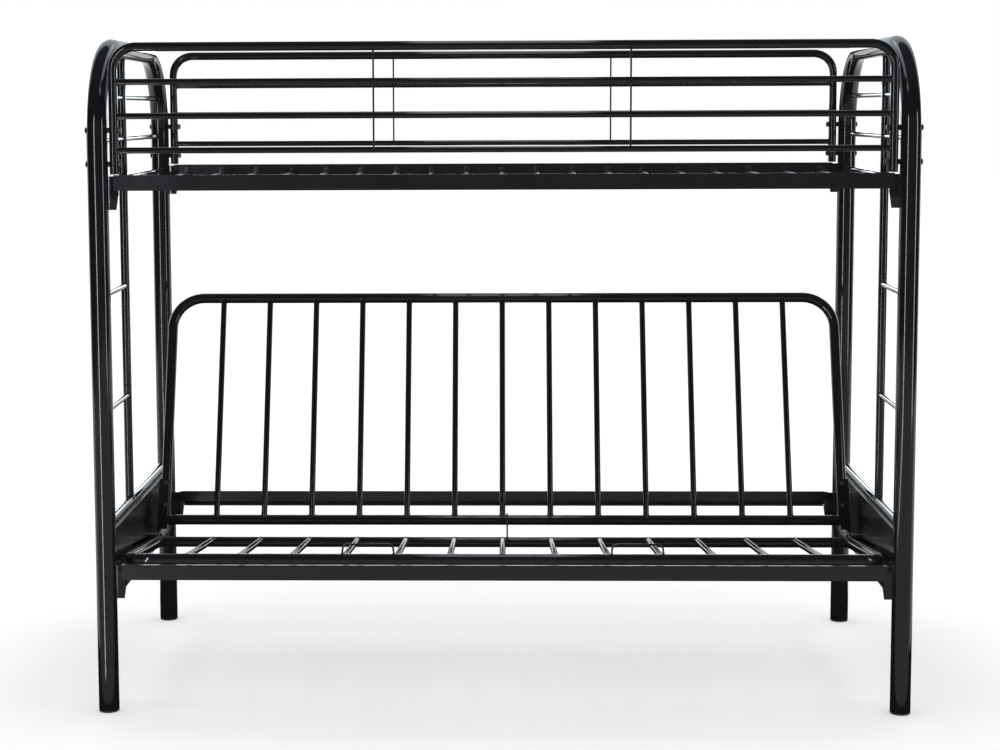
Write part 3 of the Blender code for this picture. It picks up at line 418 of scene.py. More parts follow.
def skin_rings(bm, rings, closed=False, slot=0):
    """Joins rings of points with faces, and closes the two ends unless the rings meet."""
    loops = [[bm.verts.new(point) for point in ring] for ring in rings]
    pairs = list(zip(loops, loops[1:])) + ([(loops[-1], loops[0])] if closed else [])
    faces = []
    for one, two in pairs:
        for k in range(max(len(one), len(two))):
            corners = (one[k % len(one)], one[(k + 1) % len(one)], two[(k + 1) % len(two)], two[k % len(two)])
            faces.append(bm.faces.new(list(dict.fromkeys(corners))))
    for loop in () if closed else (loops[0], loops[-1]):
        if len(loop) > 2:
            faces.append(bm.faces.new(loop))
    for face in faces:
        face.material_index = slot
        face.smooth = True


def tube(bm, path, radius, sides=28, rim=0.0008, slot=0):
    """A round tube along a path, with a small round rim at each cut end."""
    ways = [(b - a).normalized() for a, b in zip(path, path[1:])]
    tangents = [ways[0]] + [(a + b).normalized() for a, b in zip(ways, ways[1:])] + [ways[-1]]
    side = tangents[0].orthogonal().normalized()
    stations = [(path[0], tangents[0], radius - rim), (path[0] + ways[0] * rim, tangents[0], radius)]
    stations += [(point, tangent, radius) for point, tangent in zip(path[1:-1], tangents[1:-1])]
    stations += [(path[-1] - ways[-1] * rim, tangents[-1], radius), (path[-1], tangents[-1], radius - rim)]
    rings = []
    for point, tangent, size in stations:
        side = (side - tangent * side.dot(tangent)).normalized()
        other = tangent.cross(side)
        angles = [2 * math.pi * k / sides for k in range(sides)]
        rings.append([point + (side * math.cos(a) + other * math.sin(a)) * size for a in angles])
    skin_rings(bm, rings, slot=slot)


def straight(bm, start, end, radius, sides=24):
    """A straight tube between two points."""
    tube(bm, [Vector(start), Vector(end)], radius, sides)


print("a 90 degree bend has", len(bent([Vector((0, 0, 0)), Vector((1, 0, 0)), Vector((1, 1, 0))], 0.1)) - 2, "points")

# %% Helpers: weld beads
BEAD, SMALL_BEAD, TEE_BEAD, BEAD_FACETS = 0.0017, 0.0014, 0.0015, 6


def bead(bm, spot, out, axis, bar_radius, tube_radius, size=BEAD, steps=30, offset=Vector()):
    """A rippled bead round a bar that leaves a tube; spot is on the tube's axis, out along the bar."""
    out, axis = out.normalized(), axis.normalized()
    across = (axis - out * axis.dot(out)).normalized()
    side = out.cross(across)
    slope = out.dot(axis)
    rings = []
    for k in range(steps):
        angle = 2 * math.pi * k / steps
        radial = across * math.cos(angle) + side * math.sin(angle)
        start = offset + radial * bar_radius
        a = 1 - slope * slope
        b = -2 * start.dot(axis) * slope
        c = start.length_squared - start.dot(axis) ** 2 - tube_radius ** 2
        reach = (-b + math.sqrt(max(b * b - 4 * a * c, 0))) / (2 * a)
        centre = spot + start + out * reach
        ripple = size * (1 + 0.16 * math.sin(angle * 9) + 0.08 * math.sin(angle * 4 + 1.3))
        turns = [2 * math.pi * j / BEAD_FACETS for j in range(BEAD_FACETS)]
        rings.append([centre + (radial * math.cos(t) + out * math.sin(t)) * ripple for t in turns])
    skin_rings(bm, rings, closed=True, slot=1)


def tack(bm, spot, size):
    """A small low lump of weld where a thin wire touches a bar."""
    made = bmesh.ops.create_icosphere(bm, subdivisions=2, radius=1.0)
    for vert in made["verts"]:
        lump = 1 + 0.12 * math.sin(vert.co.x * 5 + spot.x * 90) * math.cos(vert.co.z * 4)
        vert.co = spot + Vector((vert.co.x * size.x, vert.co.y * size.y, vert.co.z * size.z)) * lump
    for face in {f for v in made["verts"] for f in v.link_faces}:
        face.material_index = 1
        face.smooth = True


print("bead helpers ready")

# %% Helpers: finished pieces
SHEET_EDGE = 0.0005


def finished_mesh(bm, name):
    """The mesh of a finished shape, with all its faces turned outwards."""
    bmesh.ops.recalc_face_normals(bm, faces=bm.faces)
    mesh = bpy.data.meshes.new(name)
    bm.to_mesh(mesh)
    bm.free()
    return mesh


def dress(mesh, name, body, slot, materials, nodes, sharp=40.0):
    """Makes an object, gives it its finishes, and lets it ride on its body in place of CAD nodes."""
    if not mesh.materials:
        for material in materials:
            mesh.materials.append(material)
        mesh.shade_smooth()
        mesh.set_sharp_from_angle(angle=math.radians(sharp))
    made = add_object(name, mesh)
    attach(made, body)
    if nodes:
        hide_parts(*nodes)


def piece(bm, name, *dressing):
    """A shape finished and dressed in one go; gives its mesh."""
    mesh = finished_mesh(bm, name)
    dress(mesh, name, *dressing)
    return mesh


def both_ends(bm, name, body, slot, materials, node=None):
    """A piece at the right end, and its mirror image at the left; gives the right one's mesh."""
    mesh = piece(bm, f"{name}_right", body, slot, materials, [f"{node}_right"] if node else [])
    dress(mirrored(mesh), f"{name}_left", body, slot, materials, [f"{node}_left"] if node else [])
    return mesh


def placed(mesh, matrix):
    """A copy of a mesh, moved."""
    copy = mesh.copy()
    copy.transform(matrix)
    return copy


def mirrored(mesh):
    """A copy of a mesh for the other end of the bed."""
    bm = bmesh.new()
    bm.from_mesh(mesh)
    bmesh.ops.scale(bm, vec=(-1, 1, 1), verts=bm.verts)
    bmesh.ops.reverse_faces(bm, faces=bm.faces)
    copy = mesh.copy()
    bm.to_mesh(copy)
    bm.free()
    return copy


def sheet_plate(bm, outline, push):
    """A flat plate from an outline pushed along a vector, with slightly rounded edges."""
    part = bmesh.new()
    skin_rings(part, [outline, [point + push for point in outline]])
    bmesh.ops.recalc_face_normals(part, faces=part.faces)
    bmesh.ops.bevel(part, geom=part.edges[:], offset=SHEET_EDGE, segments=2, profile=0.6, affect="EDGES")
    for face in part.faces:
        face.smooth = False
    mesh = bpy.data.meshes.new("plate")
    part.to_mesh(mesh)
    part.free()
    bm.from_mesh(mesh)
    bpy.data.meshes.remove(mesh)


TUBE_FINISH = (gloss_tube, weld_bead)
print("piece helpers ready")

# %% [markdown]
# ## End frames
# Each end of the bed is one weldment: a leg tube bent into an arch, a thinner stile that makes the ladder
# with the front leg, two rungs, a cross tube for the futon plate, the deck bar and two guard bars.
# It could be one curve for the arch and copies of a straight bar. One mesh for each end is better here,
# because the beads have to sit exactly where the bars enter the legs.

# %% End frame sizes
LEG_X, LEG_Y, LEG_RADIUS = 0.971, 0.46, 0.025
ARCH_TOP, ARCH_BEND, LEG_FOOT = 1.625, 0.215, 0.0053
STILE_Y, STILE_RADIUS = -0.127, 0.011
CROSS_HEIGHT, DECK_BAR_HEIGHT = 0.464, 1.302
RUNG_HEIGHTS = [CROSS_HEIGHT + share * (DECK_BAR_HEIGHT - CROSS_HEIGHT) for share in (0.329, 0.669)]
END_GUARD_HEIGHTS = [DECK_BAR_HEIGHT + share * (ARCH_TOP - DECK_BAR_HEIGHT) for share in (0.305, 0.629)]
RUNG_RADIUS, END_GUARD_RADIUS = 0.0075, 0.00675
UP, ALONG, DEEP = Vector((0, 0, 1)), Vector((1, 0, 0)), Vector((0, 1, 0))
ROWS, ENDS = (("front", -1), ("back", 1)), (("left", -1), ("right", 1))
print("rungs at", [round(h, 3) for h in RUNG_HEIGHTS], "end guards at", [round(h, 3) for h in END_GUARD_HEIGHTS])

# %% End frame tubes and beads
def leg_line(side, height):
    """The place and the direction of a leg's centre line at a height, also inside the bend."""
    rise = height - (ARCH_TOP - ARCH_BEND)
    if rise <= 0:
        return Vector((LEG_X, side * LEG_Y, height)), UP
    run = math.sqrt(ARCH_BEND ** 2 - rise ** 2)
    spot = Vector((LEG_X, side * (LEG_Y - ARCH_BEND + run), height))
    return spot, Vector((0, -side * rise, run)).normalized()


def cross_bar(bm, height, radius, to_stile=False):
    """A bar from the front leg back to the stile or to the back leg, with its beads."""
    front, front_axis = leg_line(-1, height)
    back, back_axis = leg_line(1, height)
    crossing = Vector((LEG_X, STILE_Y, height))
    straight(bm, front, crossing if to_stile else back, radius)
    bead(bm, front, DEEP, front_axis, radius, LEG_RADIUS)
    if to_stile:
        bead(bm, crossing, -DEEP, UP, radius, STILE_RADIUS, SMALL_BEAD)
        return
    bead(bm, back, -DEEP, back_axis, radius, LEG_RADIUS)
    if height > CROSS_HEIGHT:
        for way in (DEEP, -DEEP):
            bead(bm, crossing, way, UP, radius, STILE_RADIUS, SMALL_BEAD)


end_bm = bmesh.new()
arch = [Vector((LEG_X, y, z)) for y, z in
        ((-LEG_Y, LEG_FOOT), (-LEG_Y, ARCH_TOP), (LEG_Y, ARCH_TOP), (LEG_Y, LEG_FOOT))]
tube(end_bm, bent(arch, ARCH_BEND, 28), LEG_RADIUS, sides=48, rim=0.001)
stile_foot, stile_head = Vector((LEG_X, STILE_Y, CROSS_HEIGHT)), Vector((LEG_X, STILE_Y, ARCH_TOP))
straight(end_bm, stile_foot, stile_head, STILE_RADIUS, 28)
bead(end_bm, stile_foot, UP, DEEP, STILE_RADIUS, STILE_RADIUS, TEE_BEAD)
bead(end_bm, stile_head, -UP, DEEP, STILE_RADIUS, LEG_RADIUS)
cross_bar(end_bm, CROSS_HEIGHT, STILE_RADIUS)
cross_bar(end_bm, DECK_BAR_HEIGHT, RUNG_RADIUS)
for height in RUNG_HEIGHTS:
    cross_bar(end_bm, height, RUNG_RADIUS, to_stile=True)
for height in END_GUARD_HEIGHTS:
    cross_bar(end_bm, height, END_GUARD_RADIUS)
print("end frame tubes:", len(end_bm.faces), "faces")

# %% Rail brackets, and the stud inside each front leg
RAIL_HEIGHT, RAIL_SHEET, RAIL_FACE, RAIL_END = 0.038, 0.0025, 0.465, 0.933
UPPER_RAIL_LOW, LOWER_BACK_LOW = 1.281, 0.339
LOWER_FRONT_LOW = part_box("lower_rail_front")[0].z
GAP, BRACKET_SHEET, BRACKET_CORNER, BRACKET_FOOT, BRACKET_SLANT = 0.0003, 0.003, 0.011, 0.046, 0.005
LIP_DEPTH, BRACKET_TACKS = 0.019, (0.028, -0.004, -0.022, -0.04)
STUD_RADIUS, STUD_Y, STUD_LIFT = 0.003, 0.005, 0.0045
STUD_PROFILE = ((0.01, 0), (0.01, STUD_RADIUS), (-0.0098, STUD_RADIUS), (-0.0105, 0.0023), (-0.0105, 0))


def turned(bm, profile, sides, place=Vector(), matrix=Matrix.Identity(3), closed=False, slot=0):
    """Spins (place along X, radius) pairs round X; a radius may be a function of the angle."""
    rings = []
    for along, radius in profile:
        count = 1 if radius == 0 else sides
        ring = []
        for k in range(count):
            angle = 2 * math.pi * k / sides
            size = radius(angle) if callable(radius) else radius
            ring.append(place + matrix @ Vector((along, size * math.cos(angle), size * math.sin(angle))))
        rings.append(ring)
    skin_rings(bm, rings, closed, slot)


def hexagon(flat_radius, cap=1.0):
    """The radius of a hexagon by angle, cut back to a circle where its corners are chamfered."""
    def radius(angle):
        return min(flat_radius / math.cos((angle + math.pi / 6) % (math.pi / 3) - math.pi / 6), cap)
    return radius


def nut_profile(start, end, flat_radius, bore_radius, chamfer=0.0007):
    """A hex nut with chamfered corners, from start to end along its bolt."""
    corner = flat_radius * 1.155
    return [(start, bore_radius), (start, hexagon(flat_radius, flat_radius * 1.01)),
            (start + chamfer, hexagon(flat_radius, corner)), (end - chamfer, hexagon(flat_radius, corner)),
            (end, hexagon(flat_radius, flat_radius * 1.01)), (end, bore_radius)]


def rail_bracket(bm, side, low):
    """The bracket behind a rail's end: a plate on the leg and a lip turned in under the rail."""
    face = side * (RAIL_FACE - RAIL_SHEET - GAP)
    back = face - side * BRACKET_SHEET
    inner, outer = RAIL_END - BRACKET_CORNER, LEG_X - LEG_RADIUS * 0.8
    corner, foot, top = low - BRACKET_CORNER, low - BRACKET_FOOT, low + RAIL_HEIGHT - RAIL_SHEET - GAP
    outline = [(outer, top), (inner, top), (inner, corner), (inner + BRACKET_SLANT, foot), (outer, foot)]
    sheet_plate(bm, [Vector((x, face, z)) for x, z in outline], DEEP * (back - face))
    lip = [(face, low - GAP), (back, low - GAP), (back - side * LIP_DEPTH, corner), (back, corner), (face, corner)]
    sheet_plate(bm, [Vector((inner, y, z)) for y, z in lip], ALONG * BRACKET_SHEET)
    for rise in BRACKET_TACKS:
        seam = Vector((LEG_X - LEG_RADIUS + 0.0005, back + side * 0.0015, low + rise))
        tack(bm, seam, Vector((0.0022, 0.0024, 0.0065)))


for side, low in ((-1, UPPER_RAIL_LOW), (1, UPPER_RAIL_LOW), (-1, LOWER_FRONT_LOW), (1, LOWER_BACK_LOW)):
    rail_bracket(end_bm, side, low)
stud_place = Vector((LEG_X - LEG_RADIUS, -LEG_Y + STUD_Y, LOWER_FRONT_LOW + RAIL_HEIGHT + STUD_LIFT))
turned(end_bm, STUD_PROFILE, 20, stud_place)
turned(end_bm, nut_profile(-0.005, 0.0025, 0.0052, STUD_RADIUS), 24, stud_place, closed=True)
end_mesh = both_ends(end_bm, "end_frame_tubes", "bed_frame", "end_frame", TUBE_FINISH, "end_frame")
print("end frame:", len(end_mesh.polygons), "faces")

# %% [markdown]
# ## Foot caps
# The legs end in black plastic plugs with a thin round-edged flange. A bevelled cylinder would do for the
# flange, but spinning a drawn profile gives the rounded edge and the plug in one go.

# %% Foot caps
CAP_PROFILE = ((0, 0), (0, 0.0222), (0.0003, 0.0234), (0.0011, 0.0246), (0.0022, 0.025), (0.0042, 0.025),
               (0.0048, 0.0247), (0.005, 0.0241), (0.005, 0.021), (0.005, 0))
cap_bm = bmesh.new()
turned(cap_bm, CAP_PROFILE, 48, matrix=Matrix.Rotation(-math.pi / 2, 3, "Y"))
cap_mesh = finished_mesh(cap_bm, "foot_cap")
for row, side in ROWS:
    for end, way in ENDS:
        cap = placed(cap_mesh, Matrix.Translation((way * LEG_X, side * LEG_Y, 0)))
        dress(cap, f"foot_plug_{row}_{end}", "bed_frame", "foot_cap", (black_plastic,), [f"foot_cap_{row}_{end}"])
print("four foot caps")

# %% [markdown]
# ## Guardrails
# Each guardrail is an inverted U of thin tube with three bars and two thin upright wires welded to the
# front of the bars. Four bolts hold it to the legs through plastic spacers. The tube sweep is used again.
# The wires get small tacks instead of full beads, and a matt finish, or they would outshine the tubes.

# %% Guardrails
GUARD_X, GUARD_RADIUS, GUARD_LOW, GUARD_TOP, GUARD_BEND = 0.9305, 0.011, 1.3205, 1.624, 0.055
GUARD_BAR_HEIGHTS = [GUARD_LOW + share * (GUARD_TOP - GUARD_LOW) for share in (0.188, 0.458, 0.726)]
GUARD_BAR_RADIUS, WIRE_RADIUS, WIRE_X = 0.0075, 0.00225, 0.306
WIRE_SINK, WIRE_END, TACK_SIDE, TACK_SIZE = 0.0006, 0.003, 0.0022, Vector((0.0016, 0.0014, 0.0032))

for row, side in ROWS:
    bm = bmesh.new()
    y = side * LEG_Y
    loop = [Vector((x, y, z)) for x, z in
            ((-GUARD_X, GUARD_LOW), (-GUARD_X, GUARD_TOP), (GUARD_X, GUARD_TOP), (GUARD_X, GUARD_LOW))]
    tube(bm, bent(loop, GUARD_BEND, 18), GUARD_RADIUS, sides=32, rim=0.0012)
    for height in GUARD_BAR_HEIGHTS:
        straight(bm, (-GUARD_X, y, height), (GUARD_X, y, height), GUARD_BAR_RADIUS)
        for way in (-1, 1):
            joint = Vector((way * GUARD_X, y, height))
            bead(bm, joint, -ALONG * way, UP, GUARD_BAR_RADIUS, GUARD_RADIUS, SMALL_BEAD)
    wire_y = y - GUARD_BAR_RADIUS - WIRE_RADIUS + WIRE_SINK
    for x in (-WIRE_X, WIRE_X):
        low = GUARD_BAR_HEIGHTS[0] - 2 * WIRE_RADIUS
        ends = [Vector((x, wire_y, low)), Vector((x, wire_y, GUARD_TOP - WIRE_END))]
        tube(bm, ends, WIRE_RADIUS, sides=14, rim=0.0005, slot=2)
        for height in GUARD_BAR_HEIGHTS:
            for way in (-1, 1):
                tack(bm, Vector((x + way * TACK_SIDE, wire_y + TACK_SIDE, height)), TACK_SIZE)
    rail = piece(bm, f"guardrail_tubes_{row}", "bed_frame", "guardrail", (*TUBE_FINISH, matt_wire),
                 [f"guardrail_{row}"])
print("guardrail:", len(rail.polygons), "faces")

# %% [markdown]
# ## Guardrail bolts and spacers
# Dome-headed furniture bolts with a hexagon socket pass through the leg, a plastic spacer and the
# guardrail, and end in a nut. They could be two cylinders and a squashed ball. Spinning their real profile
# costs the same and gives the flat on the crown, the socket and the nut's chamfers.

# %% Bolts and spacers
SPACING, BOLT_RADIUS, NUT_LENGTH = 0.0045, 0.004, 0.006
SPACER_OUTER, SPACER_BORE, SPACER_RIM = 0.0065, 0.0044, 0.0006


def dome_profile(seat, height, radius, socket):
    """A dome head from its rim to its crown, with a hexagon socket sunk into the crown."""
    arc = [(seat + height * rise, radius * reach) for rise, reach in
           ((0, 0.97), (0.12, 1), (0.4, 0.94), (0.68, 0.8), (0.88, 0.62), (1, 0.46))]
    depth = seat + height * 0.35
    return arc + [(seat + height, hexagon(socket)), (depth, hexagon(socket * 0.97)), (depth, 0)]


def bolt_mesh():
    """A guardrail bolt along X, for a leg centred on the origin."""
    bm = bmesh.new()
    seat = LEG_RADIUS + GAP
    nut = -(LEG_RADIUS + SPACING + 2 * GUARD_RADIUS + GAP)
    shank = [(nut - 0.0075, 0), (nut - 0.0075, 0.0034), (nut - 0.0069, BOLT_RADIUS), (seat, BOLT_RADIUS)]
    turned(bm, shank + dome_profile(seat, 0.0038, 0.00775, 0.002), 36)
    turned(bm, nut_profile(nut - NUT_LENGTH, nut, 0.0063, BOLT_RADIUS), 36, closed=True)
    return finished_mesh(bm, "guard_bolt")


def spacer_mesh():
    """A moulded ring with rounded edges between the leg and the guardrail."""
    bm = bmesh.new()
    near, far = -LEG_RADIUS - GAP, -LEG_RADIUS - SPACING + GAP
    profile = [(far, SPACER_BORE), (far, SPACER_OUTER - SPACER_RIM), (far + SPACER_RIM, SPACER_OUTER),
               (near - SPACER_RIM, SPACER_OUTER), (near, SPACER_OUTER - SPACER_RIM), (near, SPACER_BORE)]
    turned(bm, profile, 32, closed=True)
    return finished_mesh(bm, "guard_spacer")


bolt, spacer = bolt_mesh(), spacer_mesh()
for row, side in ROWS:
    for end, way in ENDS:
        for level in ("low", "high"):
            node = f"guard_bolt_{row}_{end}_{level}"
            low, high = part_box(node)
            place = Matrix.Translation((way * LEG_X, side * LEG_Y, (low.z + high.z) / 2))
            heading = Matrix.Rotation(0 if way > 0 else math.pi, 4, "Z")
            for shape, name, finish, slot in ((bolt, node, bolt_paint_with_painted_glint, "fastener"),
                                              (spacer, node.replace("bolt", "spacer"), black_plastic, "spacer")):
                dress(placed(shape, place @ heading), "turned_" + name, "bed_frame", slot, (finish,), [name])
print("bolts and spacers:", 16)

# %% [markdown]
# ## Deck slats
# A slat is one thin tube whose ends are squashed flat, turned up behind the rail and riveted to it.
# A cylinder with a box at each end would look built up of blocks. Lofting rings whose shape changes from
# round to flat gives the smooth shoulder that the press leaves.

# %% Slats
SLAT_RADIUS, TAB_HALF, TAB_THIN, TAB_RISE = 0.0065, 0.009, 0.0014, 0.022
TAB_Y = RAIL_FACE - RAIL_SHEET - GAP - TAB_THIN
BEND_RADIUS, TIP_RADIUS, FLAT_LENGTH, SQUASH_LENGTH, SLAT_SIDES = 0.0045, 0.005, 0.012, 0.016, 24
RIVET_RISE = 0.0145
RIVET_PROFILE = ((-0.0002, 0.0034), (0.0005, 0.0035), (0.0011, 0.0029), (0.0015, 0.0018), (0.0016, 0))


def slat_stations():
    """(y, z, lean, half width, half thickness) from the middle of the slat to its tip."""
    squash = TAB_Y - FLAT_LENGTH - SQUASH_LENGTH
    rows = [(0.0, 0, 0, SLAT_RADIUS, SLAT_RADIUS), (squash, 0, 0, SLAT_RADIUS, SLAT_RADIUS)]
    for step in range(1, 9):
        share = step / 8
        ease = share * share * (3 - 2 * share)
        rows.append((squash + SQUASH_LENGTH * share, 0, 0, SLAT_RADIUS + (TAB_HALF - SLAT_RADIUS) * ease,
                     SLAT_RADIUS + (TAB_THIN - SLAT_RADIUS) * ease))
    for step in range(9):
        lean = math.pi / 2 * step / 8
        rows.append((TAB_Y - BEND_RADIUS + BEND_RADIUS * math.sin(lean), BEND_RADIUS * (1 - math.cos(lean)), lean,
                     TAB_HALF, TAB_THIN))
    for step in range(7):
        turn = math.pi / 2 * step / 6
        rows.append((TAB_Y, TAB_RISE - TIP_RADIUS + TIP_RADIUS * math.sin(turn), math.pi / 2,
                     TAB_HALF - TIP_RADIUS * (1 - math.cos(turn)), TAB_THIN * (1 if step < 6 else 0.6)))
    return rows


def slat_mesh():
    """The whole slat along Y, centred on the origin."""
    bm = bmesh.new()
    half = []
    for y, z, lean, wide, thin in slat_stations():
        power = 1 - 0.35 * (wide - SLAT_RADIUS) / (TAB_HALF - SLAT_RADIUS) if wide > SLAT_RADIUS else 1
        ring = []
        for k in range(SLAT_SIDES):
            angle = 2 * math.pi * (k + 0.5) / SLAT_SIDES
            c, s = math.cos(angle), math.sin(angle)
            across = math.copysign(abs(c) ** power, c) * wide
            up = math.copysign(abs(s) ** power, s) * thin
            ring.append(Vector((across, y - up * math.sin(lean), z + up * math.cos(lean))))
        half.append(ring)
    other = [[Vector((p.x, -p.y, p.z)) for p in ring] for ring in half[1:]]
    skin_rings(bm, other[::-1] + half)
    for way in (-1, 1):
        spin = Matrix.Rotation(-way * math.pi / 2, 3, "Z")
        turned(bm, RIVET_PROFILE, 20, Vector((0, way * (TAB_Y - TAB_THIN), RIVET_RISE)), spin, slot=1)
    return finished_mesh(bm, "slat")


slat = slat_mesh()
slat_nodes = sorted(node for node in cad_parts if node.startswith("slat_"))
for node in slat_nodes:
    low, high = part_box(node)
    place = Matrix.Translation(((low.x + high.x) / 2, 0, UPPER_RAIL_LOW + RAIL_SHEET + GAP + SLAT_RADIUS))
    dress(placed(slat, place), f"pressed_{node}", "bed_frame", "slat", (satin_slat, bolt_paint_with_painted_glint), [node], 50.0)
print("slats:", len(slat_nodes), "of", len(slat.polygons), "faces")

# %% [markdown]
# ## Rails, side plates and hinge angles
# These are cut and folded steel sheet. The CAD solids already have their true shape, so they stay. What
# they lack is the small radius that a folded or cut edge has, without which no edge catches a light line.
# Cutting those radii into the mesh would change the solid; a Bevel modifier adds them on top of it.

# %% Folded sheet nodes
RAIL_EDGE, PLATE_EDGE, HINGE_EDGE, FOLD_ANGLE = 0.0009, 0.0006, 0.0005, math.radians(35)


def soften(node, width, material, segments=3):
    """Keeps a CAD node and gives it rounded edges and a finish."""
    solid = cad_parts[node]
    for slot in solid.material_slots:
        slot.material = material
    bevel = solid.modifiers.new("edge_radius", "BEVEL")
    bevel.width = width
    bevel.segments = segments
    bevel.limit_method = "ANGLE"
    bevel.angle_limit = FOLD_ANGLE
    bevel.harden_normals = True


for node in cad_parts:
    if "_rail_" in node:
        soften(node, RAIL_EDGE, satin_rail)
    elif node.startswith("futon_side_plate"):
        soften(node, PLATE_EDGE, satin_plate)
    elif node.startswith("hinge_bracket"):
        soften(node, HINGE_EDGE, gloss_tube, 2)
print("softened:", sum(bool(o.modifiers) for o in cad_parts.values()), "nodes")

# %% [markdown]
# ## Slot covers
# Outside each side plate's slot a pressed steel pan keeps the pin's nut from hands and bedding. It is a
# guess, for the photograph doesn't show that face. A box would look cut from bar. Rings of a round-ended
# outline, pulled out step by step, give the drawn wall, the rolled corner and the thin foot that is tack
# welded to the plate.

# %% Slot covers
PIVOT, SEAT_TILT, SLIDE_RUN = Vector((0, 0.068, 0.326)), math.radians(-7.0), 0.285
PLATE_OUTER, TACK_LIFT, TACK_END, TACK_EDGE = 0.952, 0.0012, 0.0198, 0.0202
EDGE_TACKS = [(along, level) for along in (-0.02, -0.1425, -0.265) for level in (-TACK_EDGE, TACK_EDGE)]
COVER_RINGS = ((0.0133, 0.0149), (0.0003, 0.0152), (0.0003, 0.0225), (0.0013, 0.0225), (0.0017, 0.0180),
               (0.0025, 0.0170), (0.0133, 0.0164), (0.0143, 0.0160), (0.0148, 0.0150))


def round_ended(x, radius, run, steps=12):
    """A round-ended outline in the plane of the plate, from the pivot forward over the run."""
    points = []
    for centre, start in ((0.0, math.pi / 2), (-run, -math.pi / 2)):
        for step in range(steps + 1):
            angle = start - math.pi * step / steps
            points.append(Vector((x, centre + radius * math.cos(angle), radius * math.sin(angle))))
    return points


cover_bm = bmesh.new()
skin_rings(cover_bm, [round_ended(PLATE_OUTER + out, radius, SLIDE_RUN) for out, radius in COVER_RINGS])
for along, level in [(TACK_END, 0), *EDGE_TACKS, (-SLIDE_RUN - TACK_END, 0)]:
    tack(cover_bm, Vector((PLATE_OUTER + TACK_LIFT, along, level)), Vector((0.0006, 0.0018, 0.0018)))
seat_place = Matrix.Translation(PIVOT) @ Matrix.Rotation(SEAT_TILT, 4, "X")
bmesh.ops.transform(cover_bm, matrix=seat_place, verts=cover_bm.verts)
cover = both_ends(cover_bm, "slot_cover", "bed_frame", "side_plate", (satin_plate, weld_bead))
print("slot covers:", len(cover.polygons), "faces each")

# %% [markdown]
# ## The seat frame
# The futon's seat is a flat U of tube with a rear tube and thirteen bars, two ear plates that carry the
# pivots, and two bent wires that keep the cushion from sliding off. It leans back by a few degrees.
# It is drawn flat round its pivot and then turned, which is easier than working out slanted points.

# %% Seat frame
FUTON_RADIUS, BAR_RADIUS, BAR_COUNT, BAR_RISE, BAR_MARGIN = 0.01375, 0.008, 13, 0.005, 0.1445
SEAT_SIDE, SEAT_START, SEAT_FRONT, SEAT_REAR, SEAT_DROP, SEAT_BEND = 0.91825, 0.045, 0.5415, 0.061, 0.009, 0.06
BAR_PITCH = 2 * (SEAT_SIDE - BAR_MARGIN) / (BAR_COUNT - 1)
EAR_INNER, EAR_SHEET, EAR_RADIUS, EAR_BAND = 0.924, 0.004, 0.013, 0.008
STOP_X, STOP_HALF, STOP_SPLAY, STOP_RISE, STOP_BEND, STOP_RADIUS = 0.328, 0.061, 0.003, 0.0365, 0.014, 0.0025


def bars_between(bm, start, end, rise):
    """Parallel bars between two cross tubes, nearer the cushion's side, with beads."""
    way = (end - start).normalized()
    for index in range(BAR_COUNT):
        x = ALONG * (index - (BAR_COUNT - 1) / 2) * BAR_PITCH
        straight(bm, start + x + rise, end + x + rise, BAR_RADIUS, 20)
        for spot, out in ((start + x, way), (end + x, -way)):
            bead(bm, spot, out, ALONG, BAR_RADIUS, FUTON_RADIUS, SMALL_BEAD, offset=rise)


def ear_plate(bm, x):
    """The pivot plate behind the seat's side tube, round at the pivot."""
    points = []
    for step in range(17):
        angle = math.pi / 2 - math.pi * step / 16
        points.append(Vector((x, EAR_RADIUS * math.cos(angle), EAR_RADIUS * math.sin(angle))))
    points += [Vector((x, -SEAT_REAR, -SEAT_DROP - EAR_BAND)), Vector((x, -SEAT_REAR, -SEAT_DROP + EAR_BAND))]
    sheet_plate(bm, points, ALONG * EAR_SHEET)


def cushion_wire(bm, x):
    """The bent wire on the front tube that holds the cushion back."""
    foot, crown = -SEAT_DROP, -SEAT_DROP + STOP_RISE
    corners = [Vector((x + way * STOP_HALF + splay, -SEAT_FRONT, z)) for way, splay, z in
               ((-1, -STOP_SPLAY, foot), (-1, 0, crown), (1, 0, crown), (1, STOP_SPLAY, foot))]
    tube(bm, bent(corners, STOP_BEND, 10), STOP_RADIUS, sides=16, rim=0.0004)
    for way in (-1, 1):
        joint = Vector((x + way * (STOP_HALF + 0.0018), -SEAT_FRONT, foot))
        bead(bm, joint, UP, ALONG, STOP_RADIUS, FUTON_RADIUS, 0.0012, 20)


seat_bm = bmesh.new()
seat_u = [Vector((x, y, -SEAT_DROP)) for x, y in
          ((-SEAT_SIDE, -SEAT_START), (-SEAT_SIDE, -SEAT_FRONT), (SEAT_SIDE, -SEAT_FRONT), (SEAT_SIDE, -SEAT_START))]
tube(seat_bm, bent(seat_u, SEAT_BEND, 18), FUTON_RADIUS, sides=32, rim=0.0012)
rear_left, rear_right = Vector((-SEAT_SIDE, -SEAT_REAR, -SEAT_DROP)), Vector((SEAT_SIDE, -SEAT_REAR, -SEAT_DROP))
straight(seat_bm, rear_left, rear_right, FUTON_RADIUS, 32)
for spot, out in ((rear_left, ALONG), (rear_right, -ALONG)):
    bead(seat_bm, spot, out, DEEP, FUTON_RADIUS, FUTON_RADIUS, TEE_BEAD)
bars_between(seat_bm, Vector((0, -SEAT_REAR, -SEAT_DROP)), Vector((0, -SEAT_FRONT, -SEAT_DROP)), UP * BAR_RISE)
for way in (-1, 1):
    cushion_wire(seat_bm, way * STOP_X)
ear_plate(seat_bm, EAR_INNER)
ear_plate(seat_bm, -EAR_INNER - EAR_SHEET)
bmesh.ops.transform(seat_bm, matrix=seat_place, verts=seat_bm.verts)
seat = piece(seat_bm, "seat_tubes", "futon_seat", "futon_frame", TUBE_FINISH, ["seat_frame"])
